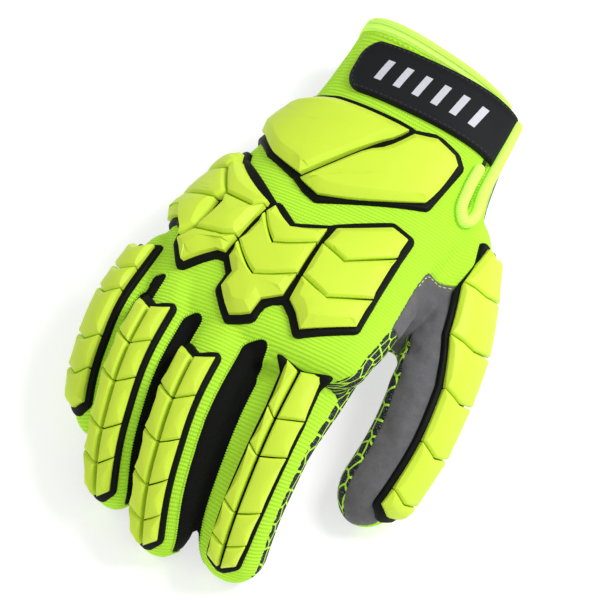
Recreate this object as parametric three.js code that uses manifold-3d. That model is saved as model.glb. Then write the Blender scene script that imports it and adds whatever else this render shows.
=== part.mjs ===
// Impact glove for the right hand, resting palm down on its finger ends and heel.
// Millimetres. +X is the thumb side, +Y the cuff, +Z up. The origin is under the middle of the
// wrist, on the flat spot where the heel of the palm is pressed by what it lies on.
import * as THREE from "three";
import { mergeVertices } from "three/addons/utils/BufferGeometryUtils.js";
import Module from "manifold-3d";

const wasm = await Module();
wasm.setup();

// Driving dimensions
const PALM_WIDTH = 108; // across the knuckles, outside the fabric
const BODY_LENGTH = 161; // cuff edge to the roots of the fingers
const WRIST_DEPTH = 50; // back to palm at the wrist
const MOUTH_Y = 54; // cuff edge, ahead of the heel
const FINGER_LENGTH = 108; // middle finger, knuckle to tip
const FINGER_WIDTH = 27; // middle finger, side to side
const FABRIC = 2.2; // wall of knit, side strip and palm leather
const SEAM_GAP = 0.3; // between pieces that meet
const FACET = 0.1; // faces that depart less than this from their neighbours are joined

// The hand's body, from the cuff edge to the finger roots. along is a share of BODY_LENGTH,
// across and half of PALM_WIDTH, height and thick of WRIST_DEPTH, lean in degrees, and skew the
// share of the distance across by which the section falls back from the cuff edge.
const BODY_ROWS = [
  { along: 0.0, across: 0.0, half: 0.35, height: 0.53, thick: 0.55, lean: 0, skew: 0.14 },
  { along: 0.11, across: 0.0, half: 0.365, height: 0.49, thick: 0.51, lean: 0, skew: 0.1 },
  { along: 0.25, across: 0.0, half: 0.396, height: 0.48, thick: 0.5, lean: -1, skew: 0.04 },
  { along: 0.4, across: -0.015, half: 0.465, height: 0.505, thick: 0.515, lean: -4, skew: 0 },
  { along: 0.57, across: -0.063, half: 0.486, height: 0.64, thick: 0.45, lean: -8, skew: 0 },
  { along: 0.73, across: -0.102, half: 0.496, height: 0.79, thick: 0.4, lean: -11, skew: 0 },
  { along: 0.88, across: -0.114, half: 0.481, height: 0.87, thick: 0.34, lean: -14, skew: 0 },
  { along: 0.96, across: -0.112, half: 0.45, height: 0.88, thick: 0.26, lean: -15, skew: 0 },
  { along: 1.0, across: -0.112, half: 0.35, height: 0.87, thick: 0.14, lean: -15, skew: 0 },
];
const BODY_SQUARE = 2.5; // power of the body's oval section, where 2 is an ellipse
const BODY_SIDES = 22;
const BODY_INNER_SIDES = 14;

// The five digits and the web of the thumb. x is a share of PALM_WIDTH, y of BODY_LENGTH, z of
// WRIST_DEPTH, length of FINGER_LENGTH, half and deep of FINGER_WIDTH. heading turns towards the
// thumb side, pitch points down, roll turns the back of the digit towards the thumb side and curl
// bends it. seam is the height of the seam to the palm near the root and near the tip, as shares
// of the half depth, and the web is all palm.
const DIGITS = {
  index: { x: 0.178, y: -0.5, z: 0.94, length: 1.04, half: 0.57, deep: 0.45,
    heading: 1, pitch: 4, roll: -4, curl: 44, seam: [0, 0] },
  middle: { x: -0.162, y: -0.53, z: 0.93, length: 1.04, half: 0.47, deep: 0.44,
    heading: -1, pitch: 3, roll: -20, curl: 50, seam: [0, 0] },
  ring: { x: -0.402, y: -0.495, z: 0.83, length: 0.98, half: 0.44, deep: 0.42,
    heading: -2, pitch: 2, roll: -25, curl: 48, seam: [0, 0] },
  little: { x: -0.542, y: -0.41, z: 0.62, length: 0.84, half: 0.4, deep: 0.38,
    heading: -8, pitch: 0, roll: -48, curl: 38, seam: [0, 0] },
  thumb: { x: 0.318, y: 0.0, z: 0.5, length: 1.31, half: 0.55, deep: 0.58,
    heading: 24, pitch: -1, roll: 60, curl: 37, seam: [0.4, 0.72] },
  web: { x: 0.188, y: -0.24, z: 0.5, length: 0.42, half: 0.9, deep: 0.42,
    heading: 80, pitch: 3, roll: 0, curl: 0, seam: null },
};
const DIGIT_SQUARE = 2.3;
const DIGIT_SIDES = 12;
const DIGIT_INNER_SIDES = 8;
const TAPER = 0.14; // share of its width that a digit loses from root to tip
const TIP_REACH = 1.15; // how long a digit's rounded end is, in half depths
const ROOT_SHARE = 0.12; // how far a digit's narrower root reaches
const ROOT_NARROW = 0.6; // how much narrower it is, squared
const DIGIT_SHARES = [0, 0.05, 0.17, 0.3, 0.42, 0.54, 0.66, 0.78, 0.88, 0.96, 1];
const DIGIT_INNER_SHARES = [0, 0.17, 0.42, 0.66, 0.88, 0.98, 1];
const TIP_PUSH = 0.9; // where a pushed out or drawn in surface begins to reach past the tip or stop short
const BODY_SHARES = [0, 0.06, 0.14, 0.24, 0.36, 0.48, 0.6, 0.72, 0.82, 0.9, 0.96, 1];
const BODY_SEAM = [0, 0]; // as a digit's seam, as shares of thick
const EVEN_BEND = 0.25; // share of the curl that is spread along the whole digit
const JOINTS = [
  { bend: 0.42, from: 0.28, to: 0.56 },
  { bend: 0.33, from: 0.6, to: 0.84 },
]; // the share of the curl at the middle and the end joint, between two shares of the length
const SEAM_RISE = [0.3, 0.7]; // shares of the length between which a seam changes height
const SMALLEST = 0.05; // half size that no section goes below

// Rubber guards. Heights are above the fabric's outside.
const SHEET = 2; // black sheet under the pads
const PAD_TOP = 6.5; // pads on the back of the hand
const FINGER_PAD_TOP = 5.6;
const PAD_BEVEL = 1.8;
const PAD_CROWN = 0.6; // how much a pad's middle stands above its rim
const PAD_FOOT = -3; // height that a pad is modelled from, before its foot is cut off
const ROW_GAP = 0.6; // black line between two rows of pads
const BORDER = 3; // black edge round the pads
const STRIP_STEPS = 2; // faces across a sheet on a digit
const MITRE_LIMIT = 0.4; // keeps a bevel from running far in at a sharp corner

// Outlines on the body: along as a share of BODY_LENGTH, turn in degrees from the crest to the
// thumb side. out lifts a corner clear of the surface where the edge hangs past the side.
const WRIST_OUTLINE = [
  { along: 0.235, turn: -52 }, { along: 0.222, turn: -30 }, { along: 0.215, turn: 2 },
  { along: 0.215, turn: 28 }, { along: 0.235, turn: 40 }, { along: 0.42, turn: 34 },
  { along: 0.455, turn: 29 }, { along: 0.547, turn: -3 }, { along: 0.5, turn: -15 },
  { along: 0.43, turn: -57 }, { along: 0.4, turn: -88, out: 9 }, { along: 0.29, turn: -88, out: 9 },
];
const WRIST_PADS = {
  wrist_pad_outer: [
    { along: 0.25, turn: -34 }, { along: 0.245, turn: 0 }, { along: 0.262, turn: 5 },
    { along: 0.36, turn: -4 }, { along: 0.485, turn: -14.5 }, { along: 0.45, turn: -35 },
    { along: 0.405, turn: -56 }, { along: 0.375, turn: -82 }, { along: 0.31, turn: -82 },
    { along: 0.262, turn: -56 },
  ],
  wrist_pad_inner: [
    { along: 0.262, turn: 7 }, { along: 0.24, turn: 12 }, { along: 0.24, turn: 27 },
    { along: 0.26, turn: 35 }, { along: 0.4, turn: 30 }, { along: 0.435, turn: 26 },
    { along: 0.523, turn: -3 }, { along: 0.492, turn: -12 }, { along: 0.36, turn: -2 },
  ],
};
const KNUCKLE_OUTLINE = [
  { along: 0.44, turn: -66 }, { along: 0.47, turn: -50 }, { along: 0.622, turn: -1 },
  { along: 0.573, turn: 6 }, { along: 0.505, turn: 26 }, { along: 0.505, turn: 35 },
  { along: 0.525, turn: 42 }, { along: 0.7, turn: 53 }, { along: 0.864, turn: 61 },
  { along: 0.936, turn: 26 }, { along: 0.89, turn: 19 }, { along: 0.866, turn: 14 },
  { along: 0.866, turn: 9 }, { along: 0.9, turn: 6 }, { along: 0.938, turn: 6 },
  { along: 0.962, turn: -1 }, { along: 0.888, turn: -9.5 }, { along: 0.845, turn: -8 },
  { along: 0.812, turn: -11 }, { along: 0.802, turn: -17 }, { along: 0.83, turn: -23 },
  { along: 0.866, turn: -32 }, { along: 0.801, turn: -44 }, { along: 0.745, turn: -46 },
  { along: 0.725, turn: -60 }, { along: 0.725, turn: -88, out: 9 },
  { along: 0.44, turn: -88, out: 9 },
];
const KNUCKLE_PADS = {
  knuckle_pad_index_1: [
    { along: 0.6, turn: 9.5 }, { along: 0.525, turn: 27 }, { along: 0.535, turn: 38 },
    { along: 0.603, turn: 41 }, { along: 0.686, turn: 23 }, { along: 0.66, turn: 10.5 },
  ],
  knuckle_pad_index_2: [
    { along: 0.666, turn: 10.5 }, { along: 0.692, turn: 23 }, { along: 0.61, turn: 41.5 },
    { along: 0.748, turn: 49 }, { along: 0.808, turn: 28 }, { along: 0.775, turn: 13.5 },
  ],
  knuckle_pad_index_3: [
    { along: 0.781, turn: 13.5 }, { along: 0.814, turn: 28 }, { along: 0.755, turn: 49.5 },
    { along: 0.84, turn: 54 }, { along: 0.912, turn: 27 }, { along: 0.875, turn: 21 },
    { along: 0.848, turn: 15 },
  ],
  knuckle_pad_middle_1: [
    { along: 0.605, turn: -10.5 }, { along: 0.65, turn: -1 }, { along: 0.614, turn: 7 },
    { along: 0.666, turn: 8.5 }, { along: 0.715, turn: -1 }, { along: 0.635, turn: -10.5 },
  ],
  knuckle_pad_middle_2: [
    { along: 0.641, turn: -10.5 }, { along: 0.721, turn: -1 }, { along: 0.672, turn: 8.5 },
    { along: 0.775, turn: 11 }, { along: 0.822, turn: 0 }, { along: 0.744, turn: -10.5 },
  ],
  knuckle_pad_middle_3: [
    { along: 0.75, turn: -10.5 }, { along: 0.828, turn: 0 }, { along: 0.781, turn: 11 },
    { along: 0.845, turn: 11.5 }, { along: 0.875, turn: 5 }, { along: 0.92, turn: 4 },
    { along: 0.94, turn: -1 }, { along: 0.88, turn: -7 }, { along: 0.835, turn: -6 },
    { along: 0.795, turn: -10.5 },
  ],
  knuckle_pad_ring_1: [
    { along: 0.5, turn: -50 }, { along: 0.6, turn: -14.5 }, { along: 0.612, turn: -14 },
    { along: 0.63, turn: -17 }, { along: 0.616, turn: -33 }, { along: 0.535, turn: -49 },
  ],
  knuckle_pad_ring_2: [
    { along: 0.622, turn: -33 }, { along: 0.636, turn: -17 }, { along: 0.618, turn: -14 },
    { along: 0.73, turn: -13.5 }, { along: 0.742, turn: -18 }, { along: 0.746, turn: -32 },
  ],
  knuckle_pad_ring_3: [
    { along: 0.752, turn: -32 }, { along: 0.748, turn: -18 }, { along: 0.737, turn: -13.5 },
    { along: 0.785, turn: -14 }, { along: 0.785, turn: -18 }, { along: 0.81, turn: -24 },
    { along: 0.842, turn: -31.5 }, { along: 0.79, turn: -40 },
  ],
  knuckle_pad_little_1: [
    { along: 0.465, turn: -60 }, { along: 0.497, turn: -52 }, { along: 0.53, turn: -51 },
    { along: 0.545, turn: -84 }, { along: 0.47, turn: -84 },
  ],
  knuckle_pad_little_2: [
    { along: 0.536, turn: -51 }, { along: 0.614, turn: -35 }, { along: 0.636, turn: -38 },
    { along: 0.63, turn: -84 }, { along: 0.551, turn: -84 },
  ],
  knuckle_pad_little_3: [
    { along: 0.642, turn: -38 }, { along: 0.74, turn: -34.5 }, { along: 0.775, turn: -41 },
    { along: 0.712, turn: -51 }, { along: 0.705, turn: -84 }, { along: 0.636, turn: -84 },
    { along: 0.636, turn: -60 },
  ],
};

// Guards on the digits. rows gives the black sheet's two edges as turns along the digit, breaks
// the shares of its length where pads end, and vee how far an edge runs ahead at the crest.
const GUARDS = {
  index: { halves: 2, vee: 0.026, breaks: [0.215, 0.39, 0.51, 0.71, 0.82, 0.91],
    rows: [{ along: 0.185, left: -36, right: 35 }, { along: 0.4, left: -36, right: 34 },
      { along: 0.6, left: -36, right: 34 }, { along: 0.78, left: -34, right: 32 },
      { along: 0.94, left: -31, right: 29 }] },
  middle: { halves: 2, vee: 0.03, breaks: [0.29, 0.43, 0.57, 0.71, 0.82, 0.92],
    rows: [{ along: 0.23, left: -42, right: 42 }, { along: 0.4, left: -42, right: 42 },
      { along: 0.6, left: -42, right: 42 }, { along: 0.78, left: -40, right: 40 },
      { along: 0.95, left: -36, right: 36 }] },
  ring: { halves: 2, vee: 0.03, breaks: [0.24, 0.385, 0.51, 0.68, 0.79, 0.92],
    rows: [{ along: 0.18, left: -43, right: 43 }, { along: 0.38, left: -43, right: 43 },
      { along: 0.58, left: -43, right: 43 }, { along: 0.78, left: -41, right: 41 },
      { along: 0.95, left: -36, right: 36 }] },
  little: { halves: 1, vee: 0.03, breaks: [0.15, 0.29, 0.4, 0.6, 0.74, 0.88],
    rows: [{ along: 0.1, left: -44, right: 44 }, { along: 0.35, left: -44, right: 44 },
      { along: 0.6, left: -44, right: 44 }, { along: 0.78, left: -42, right: 42 },
      { along: 0.92, left: -38, right: 38 }] },
  thumb: { halves: 1, vee: 0.018, breaks: [0.145, 0.283, 0.435, 0.575, 0.73, 0.875, 0.93],
    rows: [{ along: 0.1, left: -12, right: 32 }, { along: 0.19, left: -20, right: 36 },
      { along: 0.285, left: -54, right: 40 }, { along: 0.38, left: -66, right: 42 },
      { along: 0.46, left: -58, right: 42 }, { along: 0.55, left: -43, right: 42 },
      { along: 0.78, left: -38, right: 40 }, { along: 0.95, left: -37, right: 36 }] },
};

// Cuff. The slit opens the cuff on the thumb side, and the strap closes over it.
const HEM_SHARE = 0.032; // of BODY_LENGTH
const HEM_EXTRA = 0.5; // the hem is this much thicker than the fabric, on each side
const SLIT_OUTLINE = [
  { along: -0.05, turn: 64 }, { along: 0.18, turn: 57 }, { along: 0.34, turn: 53 },
  { along: 0.365, turn: 57 }, { along: 0.34, turn: 61 }, { along: 0.18, turn: 66 },
  { along: -0.05, turn: 73 },
];
const BINDING = 1.7; // radius of the rolled edge round the slit
const BINDING_ROUTE = [
  { along: 0.205, turn: 53 }, { along: 0.3, turn: 50 }, { along: 0.36, turn: 50.5 },
  { along: 0.388, turn: 57 }, { along: 0.36, turn: 63.5 }, { along: 0.27, turn: 66 },
  { along: 0.16, turn: 71 }, { along: 0.05, turn: 76 },
];
const STRAP_THICKNESS = 2.6;
const STRAP_WIDTH = 24; // along the arm
const STRAP_ROUND = 9; // corners of its free end
const STRAP_FROM = -0.287 * PALM_WIDTH; // its free end
const STRAP_TO = 0.357 * PALM_WIDTH; // its sewn end, beside the slit
const STRAP_EDGE = MOUTH_Y - 0.195 * BODY_LENGTH; // its edge towards the fingers
const ROLL_STEPS = 12;
const ARC_STEPS = 4; // faces to a rounded corner
const PAST_MOUTH = -0.05; // share of BODY_LENGTH at which cuts through the cuff begin
const CUT_REACH = 8; // how far they reach past the fabric

const degrees = THREE.MathUtils.degToRad;

// A closed solid from points and faces, turned to face out
function solidFrom(points, faces) {
  const volume = faces.reduce(
    (sum, [a, b, c]) => sum + points[a].dot(points[b].clone().cross(points[c])),
    0,
  );
  const order = volume < 0 ? (f) => [f[0], f[2], f[1]] : (f) => f;
  return new wasm.Manifold(
    new wasm.Mesh({
      numProp: 3,
      vertProperties: new Float32Array(points.flatMap((p) => p.toArray())),
      triVerts: new Uint32Array(faces.flatMap(order)),
    }),
  );
}

// A three.js geometry as a solid
function solidOf(geometry) {
  const bare = geometry.clone();
  bare.deleteAttribute("normal");
  bare.deleteAttribute("uv");
  const merged = mergeVertices(bare);
  return new wasm.Manifold(
    new wasm.Mesh({
      numProp: 3,
      vertProperties: merged.attributes.position.array,
      triVerts: new Uint32Array(merged.index.array),
    }),
  );
}

// A solid skinned over rings of equally many points, with a fan on each end
function loft(rings) {
  const count = rings[0].length;
  const points = rings.flat();
  const faces = [];
  for (let r = 0; r + 1 < rings.length; r += 1)
    for (let i = 0; i < count; i += 1) {
      const a = r * count + i;
      const b = r * count + ((i + 1) % count);
      faces.push([a, b, b + count], [a, b + count, a + count]);
    }
  for (const [first, turn] of [[0, false], [(rings.length - 1) * count, true]]) {
    const middle = points.slice(first, first + count)
      .reduce((sum, p) => sum.add(p), new THREE.Vector3())
      .divideScalar(count);
    points.push(middle);
    for (let i = 0; i < count; i += 1) {
      const edge = [first + i, first + ((i + 1) % count)];
      faces.push(turn ? [...edge, points.length - 1] : [edge[1], edge[0], points.length - 1]);
    }
  }
  return solidFrom(points, faces);
}

// Every stretch of the glove is a Tube: sections with a place, two half sizes and two axes,
// reached by a share from 0 at the cuff end to 1 at the finger end
const bodyColumns = ["across", "half", "height", "thick", "lean", "skew"];
const bodyShape = new THREE.CubicInterpolant(
  BODY_ROWS.map((row) => row.along),
  BODY_ROWS.flatMap((row) => bodyColumns.map((name) => row[name])),
  bodyColumns.length,
);
function bodySection(share) {
  const [across, half, height, thick, lean, skew] = bodyShape.evaluate(share);
  const tilt = degrees(lean);
  return {
    at: new THREE.Vector3(across * PALM_WIDTH, MOUTH_Y - share * BODY_LENGTH, height * WRIST_DEPTH),
    half: half * PALM_WIDTH,
    thick: thick * WRIST_DEPTH,
    side: new THREE.Vector3(Math.cos(tilt), -skew, -Math.sin(tilt)),
    up: new THREE.Vector3(Math.sin(tilt), 0, Math.cos(tilt)),
  };
}

// Share of a digit's curl that lies behind a point of its length
function bentSoFar(share) {
  return JOINTS.reduce(
    (sum, { bend, from, to }) => sum + bend * THREE.MathUtils.smoothstep(share, from, to),
    EVEN_BEND * share,
  );
}

// A digit's line is walked in small steps, and its section follows
const WALK_STEPS = 60;
function digitLine(digit) {
  const [heading, pitch, roll, curl] = ["heading", "pitch", "roll", "curl"].map((name) =>
    degrees(digit[name]));
  const forward = new THREE.Vector3(
    Math.sin(heading) * Math.cos(pitch),
    -Math.cos(heading) * Math.cos(pitch),
    -Math.sin(pitch),
  );
  const side = new THREE.Vector3(0, 0, 1).cross(forward).normalize();
  side.applyAxisAngle(forward, -roll);
  const at = new THREE.Vector3(digit.x * PALM_WIDTH, digit.y * BODY_LENGTH, digit.z * WRIST_DEPTH);
  const line = [];
  for (let step = 0; step <= WALK_STEPS; step += 1) {
    line.push({ at: at.clone(), forward: forward.clone() });
    const bend = bentSoFar((step + 1) / WALK_STEPS) - bentSoFar(step / WALK_STEPS);
    at.addScaledVector(forward, (digit.length * FINGER_LENGTH) / WALK_STEPS);
    forward.applyAxisAngle(side, curl * bend);
  }
  return { line, side };
}

function digitSection(digit, walked, share) {
  const step = Math.min(Math.floor(share * WALK_STEPS), WALK_STEPS - 1);
  const part = share * WALK_STEPS - step;
  const [from, to] = [walked.line[step], walked.line[step + 1]];
  const forward = from.forward.clone().lerp(to.forward, part).normalize();
  const roundFrom = 1 - (digit.deep * FINGER_WIDTH * TIP_REACH) / (digit.length * FINGER_LENGTH);
  const tip = Math.max(0, (share - roundFrom) / (1 - roundFrom));
  const root = Math.max(0, 1 - share / ROOT_SHARE);
  const rounded = Math.sqrt(Math.max(0, 1 - tip * tip)) * Math.sqrt(1 - ROOT_NARROW * root * root);
  const size = (1 - TAPER * share) * rounded;
  return {
    at: from.at.clone().lerp(to.at, part),
    half: digit.half * FINGER_WIDTH * size,
    thick: digit.deep * FINGER_WIDTH * size,
    side: walked.side,
    up: forward.clone().cross(walked.side),
    forward,
  };
}

// A point of a section at an angle from its crest, pushed out by h
function onSection(section, square, angle, h) {
  const s = Math.sin(angle);
  const c = Math.cos(angle);
  const across = Math.sign(s) * Math.abs(s) ** (2 / square) * Math.max(section.half + h, SMALLEST);
  const up = Math.sign(c) * Math.abs(c) ** (2 / square) * Math.max(section.thick + h, SMALLEST);
  return { across, up };
}
function place(section, { across, up }) {
  return section.at.clone().addScaledVector(section.side, across).addScaledVector(section.up, up);
}

// A tube's section as a ring of spots from its crest round, pushed out by h
function ringAt(tube, section, h) {
  const sides = h < 0 ? tube.innerSides : tube.sides;
  return Array.from({ length: sides }, (_, i) =>
    onSection(section, tube.square, ((i + 0.5) * 2 * Math.PI) / sides, h));
}

// A tube's solid, pushed out by h. cut, where given, changes each ring before it is placed.
function tubeSolid(tube, h, cut = (ring) => ring) {
  return loft(
    tube.shares(h).map(({ share, push }) => {
      const section = tube.section(share);
      if (push) section.at.addScaledVector(section.forward, push);
      return cut(ringAt(tube, section, h), section, share).map((spot) => place(section, spot));
    }),
  );
}

// The same solid on one side of its seam only, 1 for the back and -1 for the palm, standing off
// the seam by a gap. What a ring has beyond the seam is drawn together where the ring crosses it.
function halfSolid(tube, h, side, gap) {
  return tubeSolid(tube, h, (ring, section, share) => {
    const seam = THREE.MathUtils.lerp(...tube.seam, THREE.MathUtils.smoothstep(share, ...SEAM_RISE));
    const level = seam * section.thick + side * gap;
    const kept = (spot) => side * (spot.up - level) > 0;
    const edge = ring.findIndex((spot, i) => kept(spot) !== kept(ring[(i + 1) % ring.length]));
    if (edge < 0) return ring.map((spot) => ({ across: spot.across, up: level }));
    const [from, to] = [ring[edge], ring[edge + 1]];
    const across = THREE.MathUtils.mapLinear(level, from.up, to.up, from.across, to.across);
    return ring.map((spot) => (kept(spot) ? spot : { across: Math.sign(spot.across) * across, up: level }));
  });
}

const body = {
  sides: BODY_SIDES,
  innerSides: BODY_INNER_SIDES,
  square: BODY_SQUARE,
  section: bodySection,
  seam: BODY_SEAM,
  shares: (h) => [...(h === 0 ? [] : [PAST_MOUTH]), ...BODY_SHARES].map((share) => ({ share, push: 0 })),
};
const digits = Object.fromEntries(
  Object.entries(DIGITS).map(([name, digit]) => {
    const walked = digitLine(digit);
    return [name, {
      sides: DIGIT_SIDES,
      innerSides: DIGIT_INNER_SIDES,
      square: DIGIT_SQUARE,
      section: (share) => digitSection(digit, walked, share),
      seam: digit.seam,
      shares: (h) =>
        (h < 0 ? DIGIT_INNER_SHARES : DIGIT_SHARES).map((share) => ({
          share,
          push: h * Math.max(0, (share - TIP_PUSH) / (1 - TIP_PUSH)),
        })),
    }];
  }),
);
const tubes = [body, ...Object.values(digits)];

// The whole hand pushed out by h, and its part on each side of the seam
const join = (solids) => solids.reduce((sum, one) => sum.add(one));
const wholeHand = (h) => join(tubes.map((tube) => tubeSolid(tube, h)));
const parted = tubes.filter((tube) => tube.seam);
const backHand = (h, gap) => join(parted.map((tube) => halfSolid(tube, h, 1, gap)));
const palmHand = (h, gap) =>
  join(tubes.map((tube) => (tube.seam ? halfSolid(tube, h, -1, gap) : tubeSolid(tube, h))));

// A point on a tube's surface, pushed out by h, and the direction out of the surface there
function surface(tube, { along, turn }, h) {
  const section = tube.section(along);
  return place(section, onSection(section, tube.square, degrees(turn), h));
}
function outward(tube, spot) {
  return surface(tube, spot, 1).sub(surface(tube, spot, 0)).normalize();
}

// Each spot's point moved in from the outline by a distance measured along the surface
function movedIn(tube, spots, h, distance) {
  const points = spots.map((spot) => surface(tube, spot, h));
  const normals = spots.map((spot) => outward(tube, spot));
  const count = spots.length;
  const edge = (i) => points[(i + 1) % count].clone().sub(points[i % count]).normalize();
  const turning = normals.reduce(
    (sum, normal, i) => sum + normal.dot(edge(i + count - 1).cross(edge(i))),
    0,
  );
  return points.map((point, i) => {
    const before = normals[i].clone().cross(edge(i + count - 1));
    const after = normals[i].clone().cross(edge(i));
    const mitre = before.clone().add(after).divideScalar(Math.max(MITRE_LIMIT, 1 + before.dot(after)));
    return point.clone().addScaledVector(mitre, Math.sign(turning) * distance);
  });
}

// A rubber pad on a tube: walls up to a shoulder, then a bevel and a crowned top inside each
// loop, so that two loops with a side in common leave a groove along it. The foot reaches into
// the hand, and is cut off where the sheet under it begins.
function padBlank(tube, spots, top, loops = [spots.map((_, i) => i)]) {
  const middleOf = (some) => ({
    along: some.reduce((sum, spot) => sum + spot.along, 0) / some.length,
    turn: some.reduce((sum, spot) => sum + spot.turn, 0) / some.length,
  });
  const count = spots.length;
  const points = [PAD_FOOT, top - PAD_BEVEL].flatMap((h) => spots.map((spot) => surface(tube, spot, h)));
  points.push(surface(tube, middleOf(spots), PAD_FOOT));
  const faces = [];
  for (let i = 0; i < count; i += 1) {
    const next = (i + 1) % count;
    faces.push([i, next, next + count], [i, next + count, i + count], [next, i, 2 * count]);
  }
  for (const loop of loops) {
    const inside = loop.map((i) => spots[i]);
    const first = points.length;
    points.push(...movedIn(tube, inside, top, PAD_BEVEL), surface(tube, middleOf(inside), top + PAD_CROWN));
    loop.forEach((low, i) => {
      const far = (i + 1) % loop.length;
      const [nextLow, rim, nextRim] = [loop[far] + count, first + i, first + far];
      faces.push([low + count, nextLow, nextRim], [low + count, nextRim, rim]);
      faces.push([rim, nextRim, first + loop.length]);
    });
  }
  return solidFrom(points, faces);
}

// A straight block through a tube's surface over an outline, for cutting
function cutter(tube, spots, low, high) {
  const count = spots.length;
  return loft([low, high].map((h) => spots.map((spot) => surface(tube, spot, h))));
}

// A sheet that lies on a tube between two edges, each a turn at every row of a table
function strip(tube, rows, low, high) {
  const across = Array.from({ length: STRIP_STEPS + 1 }, (_, i) => i / STRIP_STEPS);
  const ring = ({ along, left, right }) => {
    const turns = across.map((part) => THREE.MathUtils.lerp(left, right, part));
    return [
      ...turns.map((turn) => surface(tube, { along, turn }, high)),
      ...turns.reverse().map((turn) => surface(tube, { along, turn }, low)),
    ];
  };
  return loft(rows.map(ring));
}

// A block straight down through the hand, over an outline on the body's surface
function straightDown(spots) {
  const flat = spots.map((spot) => surface(body, spot, spot.out ?? SHEET));
  const shape = new THREE.Shape(flat.map((p) => new THREE.Vector2(p.x, p.y)));
  return solidOf(new THREE.ExtrudeGeometry(shape, { depth: 2 * WRIST_DEPTH, bevelEnabled: false }));
}

const materials = {
  knit: new THREE.MeshStandardMaterial({ name: "lime knit", color: 0xa8f43a, roughness: 0.9 }),
  hem: new THREE.MeshStandardMaterial({ name: "pale lime hem", color: 0xc4fb62, roughness: 0.9 }),
  leather: new THREE.MeshStandardMaterial({ name: "grey leather", color: 0x7a787c, roughness: 0.85 }),
  sheet: new THREE.MeshStandardMaterial({ name: "black rubber", color: 0x1c201d, roughness: 0.6 }),
  pad: new THREE.MeshStandardMaterial({ name: "lime rubber", color: 0xcdf03a, roughness: 0.5 }),
  strap: new THREE.MeshStandardMaterial({ name: "black strap", color: 0x1a1c20, roughness: 0.7 }),
};

// The biggest body of a solid, without the slivers that a cut leaves beside it
function biggest(solid) {
  return solid.decompose().reduce((best, one) => (one.volume() > best.volume() ? one : best));
}

const group = new THREE.Group();
group.name = "impact_glove";
function show(name, solid, material) {
  const mesh = biggest(solid.simplify(FACET)).getMesh();
  const geometry = new THREE.BufferGeometry();
  geometry.setAttribute("position", new THREE.BufferAttribute(new Float32Array(mesh.vertProperties), 3));
  geometry.setIndex(new THREE.BufferAttribute(new Uint32Array(mesh.triVerts), 1));
  geometry.computeVertexNormals();
  const made = new THREE.Mesh(geometry, material);
  made.name = name;
  group.add(made);
}

// Fabric: a shell with the heel pressed flat, parted into back and palm
const skin = wholeHand(0);
const room = wholeHand(-FABRIC);
const clearance = wholeHand(SEAM_GAP);
const sheetTop = wholeHand(SHEET + SEAM_GAP);
const reach = 2 * (BODY_LENGTH + 2 * FINGER_LENGTH);
const above = (z) => solidOf(new THREE.BoxGeometry(reach, reach, reach).translate(0, 0, reach / 2 + z));
const cuffTo = (share) =>
  loft([2 * PAST_MOUTH, share].map((along) =>
    Array.from({ length: BODY_SIDES }, (_, i) =>
      surface(body, { along, turn: ((i + 0.5) * 360) / BODY_SIDES }, CUT_REACH))));
const slit = cutter(body, SLIT_OUTLINE, -3 * FABRIC, 2 * FABRIC);
const inside = room
  .intersect(above(FABRIC))
  .add(slit)
  .add(cuffTo(HEM_SHARE + SEAM_GAP / BODY_LENGTH));
const half = SEAM_GAP / 2;
const back = backHand(0, half).subtract(inside);
const palm = palmHand(0, half).intersect(above(0)).subtract(inside).subtract(backHand(SEAM_GAP, 0));
show("back_panel", back, materials.knit);
show("palm_panel", palm, materials.leather);
const hem = tubeSolid(body, HEM_EXTRA)
  .intersect(cuffTo(HEM_SHARE))
  .intersect(above(0))
  .subtract(tubeSolid(body, -FABRIC - HEM_EXTRA))
  .subtract(slit)
  .subtract(cuffTo(0));
show("cuff_hem", hem, materials.hem);

// Rolled edge of the slit, and the strap beside it
const extrudePath = new THREE.CatmullRomCurve3(
  BINDING_ROUTE.map((spot) => surface(body, spot, BINDING + SEAM_GAP)),
);
function roll(radius) {
  const circle = new THREE.Shape().absarc(0, 0, radius, 0, 2 * Math.PI);
  const along = { extrudePath, steps: ROLL_STEPS, curveSegments: ARC_STEPS, bevelEnabled: false };
  return solidOf(new THREE.ExtrudeGeometry(circle, along));
}
const hemClearance = tubeSolid(body, HEM_EXTRA + SEAM_GAP)
  .intersect(cuffTo(HEM_SHARE + (3 * SEAM_GAP) / BODY_LENGTH));
const aroundSkin = clearance.add(hemClearance);
show("slit_binding", roll(BINDING).subtract(aroundSkin), materials.hem);

const strapTop = STRAP_EDGE + STRAP_WIDTH;
const roundX = STRAP_FROM + STRAP_ROUND;
const strapEdge = new THREE.Shape()
  .moveTo(STRAP_TO, STRAP_EDGE)
  .lineTo(STRAP_TO, strapTop)
  .lineTo(roundX, strapTop)
  .absarc(roundX, strapTop - STRAP_ROUND, STRAP_ROUND, Math.PI / 2, Math.PI)
  .absarc(roundX, STRAP_EDGE + STRAP_ROUND, STRAP_ROUND, Math.PI, 1.5 * Math.PI);
const upward = { depth: 2 * WRIST_DEPTH, bevelEnabled: false, curveSegments: ARC_STEPS };
const strapBlock = solidOf(
  new THREE.ExtrudeGeometry(strapEdge, upward).translate(0, 0, WRIST_DEPTH / 2),
);
const strap = wholeHand(STRAP_THICKNESS + SEAM_GAP).subtract(aroundSkin).intersect(strapBlock);
show("cuff_strap", strap.subtract(roll(BINDING + SEAM_GAP)), materials.strap);

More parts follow.
